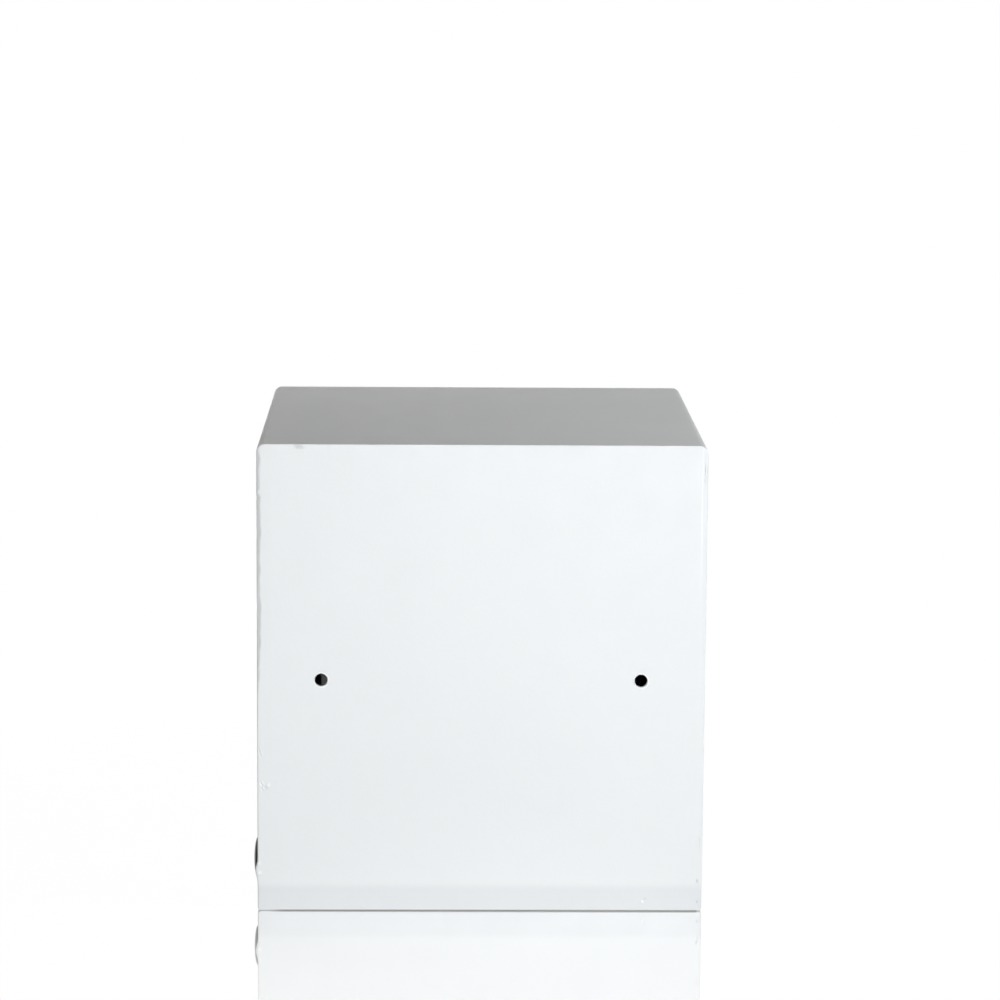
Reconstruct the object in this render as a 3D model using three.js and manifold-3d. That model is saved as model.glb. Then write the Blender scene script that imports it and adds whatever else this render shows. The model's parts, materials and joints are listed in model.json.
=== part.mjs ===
// Deposit safe: a small sheet steel cabinet with a tilting deposit hopper above a concealed hinge door.
// Millimetres, +Z up, the front faces -Y, the back faces +Y, the origin is the middle of the base.
import * as THREE from 'three';
import { mergeVertices } from 'three/addons/utils/BufferGeometryUtils.js';
import Module from 'manifold-3d';

const wasm = await Module();
wasm.setup();

// Cabinet
const cabinetWidth = 350;
const cabinetDepth = 341;
const cabinetHeight = 372;
const wallSheet = 3;
const bendRadius = 6.5; // outer radius of the wrap's four bends
const backThickness = 3;
const frameThickness = 5;
const matThickness = 2;
const matMargin = 4;

// Wall anchors in the back plate
const anchorDiameter = 10;
const anchorSpacing = 250;
const anchorHeight = 186;

// Cable hole in the right side wall, closed by a plug
const cableHoleDiameter = 27;
const cableHoleFromBack = 30;
const cableHoleHeight = 36;
const plugHeadDiameter = 32;
const plugCrown = 4.6;
const plugRim = 1.2;
const plugShankLength = 9;
const plugWall = 2;
const plugClearance = 0.3;
const plugBarb = 1;
const plugBarbLength = 1.5;

// Door opening and jamb
const doorOpeningWidth = 282;
const doorSill = 28;
const railHeight = 30; // frame between the door opening and the hopper opening
const openingCornerRadius = 3;
const doorCornerRadius = 1.5;
const jambSheet = 3;
const jambDepth = 30;
const jambReturn = 7; // folded rear edge that closes the view through the gap beside the door
const stopReach = 6; // how far the door stops stand into the opening
const stopThickness = 3;
const stopClearance = 0.3;
const stopFromLockSide = 12;
const stopFromHinge = 30;

// Door
const doorThickness = 5;
const doorGap = 2;
const hingeGap = 2.5; // wider than the other gaps, so that the swinging edge clears the jamb
const hingeInset = 22; // hinge axis to the door's hinge edge
const hingeSetback = 9; // hinge axis behind the front face
const hingePinRadius = 3;
const hingePinChamfer = 1;
const hingeRunningGap = 0.2;
const pressGap = 0.1;
const lugWidth = 25;
const lugDepth = 9.5;
const lugHeight = 16;
const lugChamfer = 3;
const lugFromEdge = 2;
const hingeBushHeight = 8;
const hingeBushWall = 6;
const hingeBushCorner = 4;
const hingePinInset = 1; // pin's ends inside its lug and its bush

// Boltwork behind the door plate
const boltRadius = 8;
const boltLength = 37;
const boltChamfer = 1.5;
const boltFromDoorEnd = 36;
const boltSetback = 17; // bolt axis behind the front face
const boltTipInset = 5; // tip of the drawn bolt to the door's lock edge
const boltThrow = 18;
const boltHoleGap = 1.3; // in the jamb
const boltGuideGap = 0.4;
const guideSheet = 3;
const guideFromEdge = 15;
const guideFoot = 16;
const guideMargin = 8;
const guideBend = 1.5;
const carrierSheet = 3;
const carrierWebWidth = 16;
const carrierWebMargin = 4;
const carrierArmLength = 66;
const carrierArmHeight = 98;
const carrierCorner = 4;
const studRadius = 4;
const studHeadRadius = 6.5;
const studHead = 3;
const studHeadChamfer = 0.8;
const studSlotGap = 0.3;
const studFromKnob = 37;
const studFromWeb = 31;

// Turn knob
const knobRadius = 20;
const knobSkirtRadius = 23;
const knobHeight = 27;
const knobSkirt = 3;
const knobSocket = 8; // from the knob's face to its bore
const knobRim = 3; // rounded rim between the grip and the dished face
const knobDish = 1.6;
const knobFlutes = 12;
const knobFluteRadius = 3.2;
const knobFluteDepth = 1.8;
const knobFromWeb = 45;
const knobFromHead = 107;
const rosetteRadius = 27;
const rosetteThickness = 2.5;
const rosetteGap = 0.4;
const rosetteChamfer = 1.2;
const spindleRadius = 5;
const spindleGap = 0.2;
const bushWall = 2.5;
const crankTravelAngle = Math.PI / 2;
const crankPinRadius = 3.5;
const crankSlotGap = 1.1;
const crankThickness = 4;
const crankSetback = 2;
const crankEdge = 4;
const crankPinPast = 1.5; // crank pin past the carrier

// Solenoid and its plunger
const plungerRadius = 4;
const plungerStroke = 5;
const plungerRestGap = 0.4;
const plungerFromKnob = 14; // towards the lock side
const plungerGap = 0.3;
const notchDepth = 6;
const notchGap = 0.6;
const solenoidWidth = 28;
const solenoidDepth = 23;
const solenoidHeight = 27;
const solenoidFrameSheet = 2;
const coilRadius = 10.2;
const solenoidStandOff = 0.3; // bond line to the door plate
const solenoidBoreEnd = 4;
const plungerChamfer = 0.8;
const tabAboveTip = 5; // lift tab's underside above the plunger's tip
const liftTabThickness = 2;
const liftTabHalfDepth = 6;
const liftTabReach = 22; // from the plunger's axis towards the cam
const liftTabBack = 6;

// Emergency lock
const lockRadius = 9;
const lockFlangeRadius = 11;
const lockFlange = 2;
const lockPlugRadius = 6.5;
const lockPlugGap = 0.15;
const keySlotWidth = 2;
const keySlotLength = 8;
const keySlotDepth = 6;
const camThickness = 2;
const camStartRadius = 6; // height of the cam under the lift tab at rest
const camGap = 0.3;
const camSetback = 0.4; // cam behind the lift tab's front edge
const plugRecess = 0.4; // key plug behind the lock's face

// Keypad
const keypadWidth = 92;
const keypadHeight = 124;
const keypadDepth = 20;
const keypadWall = 2.5;
const keypadCorner = 9;
const keypadEdge = 4; // sloped border of the moulding
const keypadCentreX = 38;
const keyWidth = 16;
const keyHeight = 12;
const keyCorner = 3;
const keyPitchX = 22;
const keyPitchZ = 18;
const keyProud = 1.8;
const keyTravel = 1.2;
const keyGap = 0.35;
const keyFlange = 1;
const keyFlangeThickness = 1.2;
const keyCrown = 0.7;
const keyCrownInset = 0.9;
const keysAboveCentre = 10;
const boardThickness = 1.6;
const boardClearance = 1;
const boardMargin = 1;
const boardCorner = 7;
const batteryWidth = 48.5;
const batteryHeight = 16.5;
const batteryDepth = 13;
const batteryBayGap = 0.3;
const batteryCoverHeight = 24;
const batteryCoverWidth = 60;
const batteryCoverThickness = 2;
const batteryCoverFromFoot = 5;
const batteryCoverGap = 0.3;
const batteryCoverSeat = 2;
const batteryCoverCorner = 3;
const boardFromBattery = 3;

// Inner door cover
const coverSheet = 1.5;
const coverDepth = 34;
const coverCorner = 6;
const coverFromLockEdge = 9;
const coverFromHinge = 28;
const coverFromDoorFoot = 10;
const coverFromDoorHead = 9;
const coverBoltGap = 0.9;
const coverFlange = 8;
const resetButtonRadius = 4;
const resetButtonLength = 9;
const resetButtonGap = 0.3;
const resetButtonFlange = 1.6;
const resetButtonProud = 2.5; // its travel is 1.5
const resetButtonChamfer = 0.8;
const resetButtonFromHinge = 22;
const resetButtonFromHead = 48;
const leadRadius = 1.5;
const leadHoleRadius = 3.5;
const leadHoleX = 12;
const leadHoleAboveKnob = 39;
const leadEndGap = 0.3;
const leadAbovePlate = 3;

// Deposit hopper above the door
const hopperOpeningWidth = 240;
const hopperOpeningHeight = 70;
const hopperFromTop = 26;
const hopperGap = 2;
const hopperSideGap = 3;
const flapThickness = 4;
const noseRadius = 12; // the flap's rolled lower edge, concentric with the pivot
const noseSillGap = 1.5;
const scoopSheet = 3; // heavy enough for the hopper to fall shut
const scoopSlope = THREE.MathUtils.degToRad(30); // floor of the scoop below the level when shut
const scoopLegHeight = 46;
const scoopHem = 8;
const scoopHemBend = 1.5;
const scoopSweep = 60; // radius that the hem sweeps round the pivot
const cheekRadius = 54;
const cheekSheet = 2;
const hopperPinRadius = 3;
const hopperPinGap = 0.15;
const hopperPinHead = 0.9; // head's rim round the pin
const hopperPinEnd = 2; // pin past the sheets it joins
const hopperPlateSheet = 2;
const hopperPlateGap = 2.5; // cheek to side plate
const hopperPlateFlange = 12;
const hopperPlateNose = 14; // radius of its back corner
const hopperPlateFlat = 31; // from the pivot to where the plate tapers
const hopperPlateChamfer = 8;
const hopperPlatePast = 4; // plate behind the baffle
const hopperPlateAboveBush = 1;
const hopperBushRadius = 5.5;
const hopperBushFlange = 1.2;
const hopperBushGap = 0.1;
const hopperBushNose = 0.8; // bush's inner end past the plate
const hopperBushLength = 3; // bush's outer end past the plate
const hopperBushRelief = 0.8;
const baffleGap = 3; // scoop hem to baffle
const baffleSheet = 1.5;
const baffleStart = THREE.MathUtils.degToRad(27);
const baffleEnd = THREE.MathUtils.degToRad(78);
const toothLength = 6;
const toothPitch = 12;
const handleLength = 104;
const handleStandOff = 25;
const handleRadius = 4;
const handleBend = 11;
const handleFootRadius = 7;
const handleFoot = 2.5;
const overrun = 1; // cutting and joining shapes run this far past a face
const handleFromTop = 17;

// Sizes that follow from the ones above
const halfWidth = cabinetWidth / 2;
const innerHalfWidth = halfWidth - wallSheet;
const innerCorner = Math.max(bendRadius - wallSheet, 0.5);
const hopperSill = cabinetHeight - hopperFromTop - hopperOpeningHeight;
const doorOpeningHeight = hopperSill - railHeight - doorSill;
const halfOpening = doorOpeningWidth / 2;
const doorLockEdge = -halfOpening + doorGap;
const doorHingeEdge = halfOpening - hingeGap;
const doorFoot = doorSill + doorGap;
const doorHead = doorSill + doorOpeningHeight - doorGap;
const hingeX = doorHingeEdge - hingeInset;
const boltMiddle = doorHead - knobFromHead;
const boltHeights = [doorHead - boltFromDoorEnd, boltMiddle, doorFoot + boltFromDoorEnd];
const boltTip = doorLockEdge + boltTipInset;
const webX = boltTip + boltLength;
const armEnd = webX + carrierArmLength;
const armTop = boltMiddle + carrierArmHeight / 2;
const knobX = webX + carrierSheet + knobFromWeb;
const crankRadius = boltThrow / 2 / Math.sin(crankTravelAngle / 2);
const crankPinHeight = crankRadius * Math.cos(crankTravelAngle / 2);
const plungerX = knobX - plungerFromKnob;
const plungerTip = armTop + plungerRestGap;
const tabHeight = plungerTip + tabAboveTip;
const lockHeight = tabHeight - camGap - camStartRadius;
const solenoidFoot = tabHeight + liftTabThickness + plungerStroke + plungerGap;
const keypadFoot = boltMiddle - keypadHeight / 2;
const coverLeft = doorLockEdge + coverFromLockEdge;
const coverRight = hingeX - coverFromHinge;
const coverFoot = doorFoot + coverFromDoorFoot;
const coverHead = doorHead - coverFromDoorHead;
const coverBack = doorThickness + coverDepth;
const resetButtonHeight = doorHead - resetButtonFromHead;
const leadHoleHeight = boltMiddle + leadHoleAboveKnob;
const boardFront = -keypadDepth + keypadWall + keyGap + keyFlangeThickness + keyTravel + boardClearance;
const hopperPivotHeight = hopperSill + noseRadius + noseSillGap;
const flapTop = hopperSill + hopperOpeningHeight - hopperGap - hopperPivotHeight;
const flapWidth = hopperOpeningWidth - 2 * hopperGap;
const scoopWidth = hopperOpeningWidth - 2 * hopperSideGap;
const cheekOuter = scoopWidth / 2 + cheekSheet;
const sidePlateInner = cheekOuter + hopperPlateGap;
const scoopBend = noseRadius - flapThickness; // outside of the scoop's bend, seated in the flap's roll
const baffleRadius = scoopSweep + baffleGap;
const rollSteps = 6; // facets of the bends that seat in each other

// Rotations that stand a flat outline up: as a front view along Y, or as a side view along X
const frontView = new THREE.Matrix4().set(1, 0, 0, 0, 0, 0, -1, 0, 0, 1, 0, 0, 0, 0, 0, 1);
const sideView = new THREE.Matrix4().set(0, 0, 1, 0, 1, 0, 0, 0, 0, 1, 0, 0, 0, 0, 0, 1);

function arc(cx, cy, radius, start, end, steps) {
  return Array.from({ length: steps + 1 }, (_, i) => {
    const angle = start + ((end - start) * i) / steps;
    return new THREE.Vector2(cx + radius * Math.cos(angle), cy + radius * Math.sin(angle));
  });
}

function circle(cx, cy, radius, steps = 24) {
  return arc(cx, cy, radius, 0, 2 * Math.PI, steps).slice(0, -1);
}

// A rectangle between two corners with rounded corners
function roundedRectangle(x0, y0, x1, y1, radius, steps = 4) {
  const quarter = Math.PI / 2;
  return [
    ...arc(x1 - radius, y0 + radius, radius, -quarter, 0, steps),
    ...arc(x1 - radius, y1 - radius, radius, 0, quarter, steps),
    ...arc(x0 + radius, y1 - radius, radius, quarter, 2 * quarter, steps),
    ...arc(x0 + radius, y0 + radius, radius, 2 * quarter, 3 * quarter, steps),
  ];
}

// A slot with round ends along x
function slotAlongX(x0, x1, y, radius, steps = 8) {
  return [
    ...arc(x1, y, radius, -Math.PI / 2, Math.PI / 2, steps),
    ...arc(x0, y, radius, Math.PI / 2, (3 * Math.PI) / 2, steps),
  ];
}

function extrude(outline, holes, depth) {
  const shape = new THREE.Shape(outline);
  shape.holes = holes.map((points) => new THREE.Path(points));
  return new THREE.ExtrudeGeometry(shape, { depth, bevelEnabled: false, steps: 1 });
}

// An outline in x and z, from y = near backwards to y = near + thickness
function frontPlate(outline, holes, near, thickness) {
  return extrude(outline, holes, thickness).applyMatrix4(frontView).translate(0, near + thickness, 0);
}

// An outline in y and z, from x = start to x = start + width
function sideProfile(outline, holes, start, width) {
  return extrude(outline, holes, width).applyMatrix4(sideView).translate(start, 0, 0);
}

function levelPlate(outline, holes, foot, thickness) {
  return extrude(outline, holes, thickness).translate(0, 0, foot);
}

// The outline of a sheet bent at the inner corners of a line, which is the sheet's middle
function foldedSheet(corners, thickness, innerRadii, steps = 4) {
  const left = [];
  const right = [];
  const half = thickness / 2;
  const offset = (point, normal) => {
    left.push(point.clone().addScaledVector(normal, half));
    right.push(point.clone().addScaledVector(normal, -half));
  };
  const normalOf = (from, to) => {
    const along = to.clone().sub(from).normalize();
    return new THREE.Vector2(-along.y, along.x);
  };
  offset(corners[0], normalOf(corners[0], corners[1]));
  for (let i = 1; i < corners.length - 1; i += 1) {
    const before = normalOf(corners[i - 1], corners[i]);
    const after = normalOf(corners[i], corners[i + 1]);
    const turn = Math.atan2(before.cross(after), before.dot(after));
    const side = Math.sign(turn);
    const radius = innerRadii[i - 1] + half;
    const middle = before.clone().add(after).normalize();
    const centre = corners[i].clone().addScaledVector(middle, (side * radius) / Math.cos(turn / 2));
    for (let step = 0; step <= steps; step += 1) {
      const normal = before.clone().rotateAround(new THREE.Vector2(), (turn * step) / steps);
      offset(centre.clone().addScaledVector(normal, -side * radius), normal);
    }
  }
  const last = corners.length - 1;
  offset(corners[last], normalOf(corners[last - 1], corners[last]));
  return [...right, ...left.reverse()];
}

function cylinder(radius, length, steps = 24) {
  return new THREE.CylinderGeometry(radius, radius, length, steps);
}

function rodAlongX(radius, x0, x1, y, z, steps) {
  return cylinder(radius, x1 - x0, steps).rotateZ(-Math.PI / 2).translate((x0 + x1) / 2, y, z);
}

function rodAlongY(radius, y0, y1, x, z, steps) {
  return cylinder(radius, y1 - y0, steps).translate(x, (y0 + y1) / 2, z);
}

function rodAlongZ(radius, z0, z1, x, y, steps) {
  return cylinder(radius, z1 - z0, steps).rotateX(Math.PI / 2).translate(x, y, (z0 + z1) / 2);
}

function block(x0, x1, y0, y1, z0, z1) {
  return new THREE.BoxGeometry(x1 - x0, y1 - y0, z1 - z0)
    .translate((x0 + x1) / 2, (y0 + y1) / 2, (z0 + z1) / 2);
}

// A profile of [radius, height] pairs turned round the Y axis, walked so that its faces point out
function turned(profile, steps = 32) {
  const points = profile.map(([radius, height]) => new THREE.Vector2(radius, height));
  return new THREE.LatheGeometry(THREE.ShapeUtils.area(points) < 0 ? points.reverse() : points, steps);
}

function merged(geometry) {
  const bare = geometry.clone();
  bare.deleteAttribute('normal');
  bare.deleteAttribute('uv');
  return mergeVertices(bare, 1e-4);
}

function solid(geometry) {
  const bare = merged(geometry);
  return new wasm.Manifold(new wasm.Mesh({
    numProp: 3,
    vertProperties: Float32Array.from(bare.attributes.position.array),
    triVerts: Uint32Array.from(bare.index.array),
  }));
}

function surface(body) {
  const mesh = body.getMesh();
  const geometry = new THREE.BufferGeometry();
  geometry.setAttribute('position', new THREE.BufferAttribute(mesh.vertProperties, 3));
  geometry.setIndex(new THREE.BufferAttribute(mesh.triVerts, 1));
  geometry.computeVertexNormals();
  return geometry;
}

function joined(first, ...others) {
  return surface(others.reduce((body, other) => body.add(solid(other)), solid(first)));
}

function cut(first, ...others) {
  return surface(others.reduce((body, other) => body.subtract(solid(other)), solid(first)));
}

// Materials
function paint() {
  return new THREE.MeshStandardMaterial({ color: 0xf1f3f4, roughness: 0.35, metalness: 0 });
}

function zincPlate() {
  return new THREE.MeshStandardMaterial({ color: 0xb9bcc0, roughness: 0.35, metalness: 1 });
}

function polishedSteel() {
  return new THREE.MeshStandardMaterial({ color: 0xc9cbce, roughness: 0.18, metalness: 1 });
}

function brassMetal() {
  return new THREE.MeshStandardMaterial({ color: 0xb8934f, roughness: 0.3, metalness: 1 });
}

function blackPlastic() {
  return new THREE.MeshStandardMaterial({ color: 0x17181a, roughness: 0.4, metalness: 0 });
}

function keyRubber() {
  return new THREE.MeshStandardMaterial({ color: 0xd9dadb, roughness: 0.6, metalness: 0 });
}

function redPlastic() {
  return new THREE.MeshStandardMaterial({ color: 0xb3201c, roughness: 0.45, metalness: 0 });
}

function greenBoard() {
  return new THREE.MeshStandardMaterial({ color: 0x1d5b38, roughness: 0.5, metalness: 0 });
}

function greyFelt() {
  return new THREE.MeshStandardMaterial({ color: 0x4b4d50, roughness: 1, metalness: 0 });
}

function piece(parent, name, geometry, material) {
  const mesh = new THREE.Mesh(geometry, material);
  mesh.name = name;
  parent.add(mesh);
  return mesh;
}

// Cabinet

// Top, sides and floor are one sheet bent at four corners
function bodyWrap() {
  const outer = roundedRectangle(-halfWidth, 0, halfWidth, cabinetHeight, bendRadius, 6);
  const inner = roundedRectangle(
    -innerHalfWidth, wallSheet, innerHalfWidth, cabinetHeight - wallSheet, innerCorner, 6,
  );
  const wrap = frontPlate(outer, [inner], 0, cabinetDepth);
  const cableHole = rodAlongX(
    cableHoleDiameter / 2, innerHalfWidth - overrun, halfWidth + overrun,
    cabinetDepth - cableHoleFromBack, cableHoleHeight, 32,
  );
  return cut(wrap, cableHole);
}

// Plates let into the wrap's two open ends and welded round the edge
function letInOutline() {
  return roundedRectangle(
    -innerHalfWidth, wallSheet, innerHalfWidth, cabinetHeight - wallSheet, innerCorner, 6,
  );
}

function backPlate() {
  const anchors = [-anchorSpacing / 2, anchorSpacing / 2]
    .map((x) => circle(x, anchorHeight, anchorDiameter / 2, 32));
  return frontPlate(letInOutline(), anchors, cabinetDepth - backThickness, backThickness);
}

function openingOutline(halfSpan, foot, height) {
  return roundedRectangle(-halfSpan, foot, halfSpan, foot + height, openingCornerRadius, 3);
}

function frontFrame() {
  const holes = [
    openingOutline(halfOpening, doorSill, doorOpeningHeight),
    openingOutline(hopperOpeningWidth / 2, hopperSill, hopperOpeningHeight),
  ];
  return frontPlate(letInOutline(), holes, 0, frameThickness);
}

// A sleeve round the door opening with folded rear edges at its sides, the bolt holes, the hinge pin holes
// and the two door stops
function doorJamb() {
  const inner = openingOutline(halfOpening, doorSill, doorOpeningHeight);
  const outer = roundedRectangle(
    -halfOpening - jambSheet, doorSill - jambSheet,
    halfOpening + jambSheet, doorSill + doorOpeningHeight + jambSheet, openingCornerRadius + jambSheet, 3,
  );
  const sleeve = frontPlate(outer, [inner], frameThickness, jambDepth);
  const stopNear = doorThickness + stopClearance;
  const stopLeft = -halfOpening + stopFromLockSide;
  const stopRight = hingeX - stopFromHinge;
  const head = doorSill + doorOpeningHeight;
  const stops = [[head - stopReach, head + overrun], [doorSill - overrun, doorSill + stopReach]]
    .map(([z0, z1]) => block(stopLeft, stopRight, stopNear, stopNear + stopThickness, z0, z1));
  const rear = frameThickness + jambDepth;
  const near = halfOpening - jambReturn;
  const far = halfOpening + overrun;
  const returns = [[-far, -near], [near, far]]
    .map(([x0, x1]) => block(x0, x1, rear - jambSheet, rear, doorSill - overrun, head + overrun));
  const boltHoles = boltHeights.map((z) => rodAlongX(
    boltRadius + boltHoleGap, -halfOpening - jambSheet - overrun, -halfOpening + overrun, boltSetback, z, 24,
  ));
  const pinHoles = [
    [doorSill - jambSheet - overrun, doorSill + overrun], [head - overrun, head + jambSheet + overrun],
  ]
    .map(([z0, z1]) => rodAlongZ(hingePinRadius + hingeRunningGap, z0, z1, hingeX, hingeSetback, 24));
  return surface([...boltHoles, ...pinHoles].reduce(
    (body, hole) => body.subtract(solid(hole)),
    [...stops, ...returns].reduce((body, fold) => body.add(solid(fold)), solid(sleeve)),
  ));
}

// The block behind the frame that carries a hinge pin's end
function hingeBush(foot) {
  const front = frameThickness;
  const back = hingeSetback + hingePinRadius + hingeBushWall;
  const half = hingePinRadius + hingeBushWall;
  const outline = [
    new THREE.Vector2(hingeX - half, front),
    new THREE.Vector2(hingeX + half, front),
    ...arc(hingeX + half - hingeBushCorner, back - hingeBushCorner, hingeBushCorner, 0, Math.PI / 2, 4),
    ...arc(hingeX - half + hingeBushCorner, back - hingeBushCorner, hingeBushCorner, Math.PI / 2, Math.PI, 4),
  ];
  const bore = circle(hingeX, hingeSetback, hingePinRadius + hingeRunningGap, 24);
  return levelPlate(outline, [bore], foot, hingeBushHeight);
}

// A snap-in plug: domed head, split shank with a barb behind the wall
function cablePlug() {
  const hole = cableHoleDiameter / 2 - plugClearance;
  const inside = -wallSheet - plugClearance;
  const dome = arc(0, 0, 1, 0, Math.PI / 2, 5).map(({ x, y }) => [
    (plugHeadDiameter / 2) * x,
    plugRim + y * (plugCrown - plugRim),
  ]);
  const profile = [
    [0, -plugWall + plugRim],
    [hole - plugWall, -plugWall + plugRim],
    [hole - plugWall, -plugShankLength],
    [hole - plugWall / 2, -plugShankLength],
    [hole + plugBarb, inside - plugBarbLength],
    [hole, inside],
    [hole, 0],
    [plugHeadDiameter / 2, 0],
    ...dome,
  ];
  return turned(profile, 28).rotateZ(-Math.PI / 2);
}

function floorMat() {
  const half = innerHalfWidth - matMargin;
  const outline = roundedRectangle(
    -half, frameThickness + jambDepth + matMargin,
    half, cabinetDepth - backThickness - matMargin, matMargin, 3,
  );
  return levelPlate(outline, [], wallSheet, matThickness);
}

// Hopper: coordinates from the pivot, y inwards and z up

// A flat flap whose lower edge is rolled round the pivot, so that the gap to the sill stays the same
function hopperFlap() {
  const roll = Math.PI + Math.PI / 2 - scoopSlope;
  const outline = [
    new THREE.Vector2(-scoopBend, flapTop),
    new THREE.Vector2(-noseRadius, flapTop),
    ...arc(0, 0, noseRadius, Math.PI, roll, rollSteps),
    ...arc(0, 0, scoopBend, roll, Math.PI, rollSteps),
  ];
  return sideProfile(outline, [], -flapWidth / 2, flapWidth);
}

// One bent sheet: a leg up the back of the flap, a sloping floor and a hem turned down at its end
function hopperScoop() {
  const half = scoopSheet / 2;
  const middle = scoopBend - half;
  const bend = (Math.PI / 2 - scoopSlope) / 2;
  const floor = new THREE.Vector2(Math.cos(scoopSlope), -Math.sin(scoopSlope));
  const up = new THREE.Vector2(-floor.y, floor.x);
  const along = (distance, rise) => floor.clone().multiplyScalar(distance).addScaledVector(up, rise);
  const end = Math.sqrt(scoopSweep ** 2 - (scoopBend + scoopHem) ** 2) - half;
  const corners = [
    new THREE.Vector2(-middle, scoopLegHeight),
    along(-middle * Math.tan(bend), -middle),
    along(end, -middle),
    along(end, -scoopBend - scoopHem),
  ];
  const outline = foldedSheet(corners, scoopSheet, [scoopBend - scoopSheet, scoopHemBend], rollSteps);
  return sideProfile(outline, [], -scoopWidth / 2, scoopWidth);
}

// A sector that closes the scoop's end from the flap round to its floor
function scoopCheek(start) {
  const past = Math.asin(scoopBend / cheekRadius);
  const outline = [
    ...arc(0, 0, cheekRadius, -scoopSlope - past, Math.PI / 2 + past, 16),
    ...arc(0, 0, scoopBend, Math.PI, (3 * Math.PI) / 2 - scoopSlope, rollSteps),
  ];
  const bore = circle(0, 0, hopperPinRadius + pressGap, 20);
  return sideProfile(outline, [bore], start, cheekSheet);
}

function hopperPin(side) {
  const inner = side * (cheekOuter - cheekSheet - hopperPinEnd);
  const outer = side * (sidePlateInner + hopperPlateSheet + hopperPinEnd);
  const pin = rodAlongX(hopperPinRadius, Math.min(inner, outer), Math.max(inner, outer), 0, 0, 20);
  const headOuter = side * (cheekOuter - cheekSheet - pressGap);
  const head = rodAlongX(
    hopperPinRadius + hopperPinHead, Math.min(inner, headOuter), Math.max(inner, headOuter), 0, 0, 20,
  );
  return joined(pin, head);
}

// A bent round bar with a round foot at each end, standing off the flap
function hopperHandle() {
  const half = handleLength / 2;
  const face = -noseRadius;
  const z = flapTop - handleFromTop;
  const path = new THREE.CurvePath();
  const point = (x, y) => new THREE.Vector3(x, y, z);
  const out = face - handleStandOff;
  path.add(new THREE.LineCurve3(point(-half, face), point(-half, out + handleBend)));
  path.add(new THREE.QuadraticBezierCurve3(
    point(-half, out + handleBend), point(-half, out), point(-half + handleBend, out),
  ));
  path.add(new THREE.LineCurve3(point(-half + handleBend, out), point(half - handleBend, out)));
  path.add(new THREE.QuadraticBezierCurve3(
    point(half - handleBend, out), point(half, out), point(half, out + handleBend),
  ));
  path.add(new THREE.LineCurve3(point(half, out + handleBend), point(half, face)));
  const section = new THREE.Shape(circle(0, 0, handleRadius, 10));
  const bar = new THREE.ExtrudeGeometry(section, { steps: 20, bevelEnabled: false, extrudePath: path });
  const feet = [-half, half]
    .map((x) => rodAlongY(handleFootRadius, face - handleFoot, face, x, z, 24));
  return joined(bar, ...feet);
}

// A plate beside the hopper that carries its bush, welded to the frame by its front flange
function hopperSidePlate(side) {
  const reach = baffleRadius + baffleSheet + hopperPlatePast - hopperPlateNose;
  const bushTop = doorSill + doorOpeningHeight + jambSheet + hingeBushHeight;
  const foot = bushTop + hopperPlateAboveBush - hopperPivotHeight;
  const front = frameThickness - noseRadius;
  const top = baffleTop() + baffleSheet;
  const web = [
    new THREE.Vector2(front, foot + hopperPlateChamfer),
    new THREE.Vector2(front + hopperPlateChamfer, foot),
    new THREE.Vector2(hopperPlateFlat, foot),
    ...arc(reach, 0, hopperPlateNose, 0, Math.PI / 3, 4),
    new THREE.Vector2(hopperPlateFlat, top),
    new THREE.Vector2(front, top),
  ];
  const inner = side > 0 ? sidePlateInner : -sidePlateInner - hopperPlateSheet;
  const plate = sideProfile(web, [], inner, hopperPlateSheet);
  const flangeX = side > 0 ? sidePlateInner : -sidePlateInner - hopperPlateFlange;
  const flange = block(
    flangeX, flangeX + hopperPlateFlange, front, front + hopperPlateSheet,
    foot + hopperPlateFlange, top,
  );
  const bore = rodAlongX(
    hopperBushRadius + hopperBushGap, inner - overrun, inner + hopperPlateSheet + overrun, 0, 0, 24,
  );
  const relief = rodAlongX(
    hopperBushRadius + hopperBushFlange + hopperBushRelief,
    side > 0 ? inner + hopperPlateSheet : flangeX - overrun,
    side > 0 ? flangeX + hopperPlateFlange + overrun : inner, 0, 0, 20,
  );
  return surface(solid(plate).add(solid(flange)).subtract(solid(bore)).subtract(solid(relief)));
}

// The baffle's level flange sits just above the hopper opening
function baffleTop() {
  return baffleRadius * Math.sin(baffleEnd);
}

function hopperBush(side) {
  const x0 = sidePlateInner - hopperBushNose;
  const x1 = sidePlateInner + hopperPlateSheet + hopperBushLength;
  const flange = hopperBushRadius + hopperBushFlange;
  const profile = [
    [hopperPinRadius + hopperPinGap, x0],
    [hopperBushRadius, x0],
    [hopperBushRadius, sidePlateInner + hopperPlateSheet + hopperBushGap],
    [flange, sidePlateInner + hopperPlateSheet + hopperBushGap],
    [flange, x1],
    [hopperPinRadius + hopperPinGap, x1],
    [hopperPinRadius + hopperPinGap, x0],
  ];
  return turned(profile, 24).rotateZ((-side * Math.PI) / 2);
}

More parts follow.
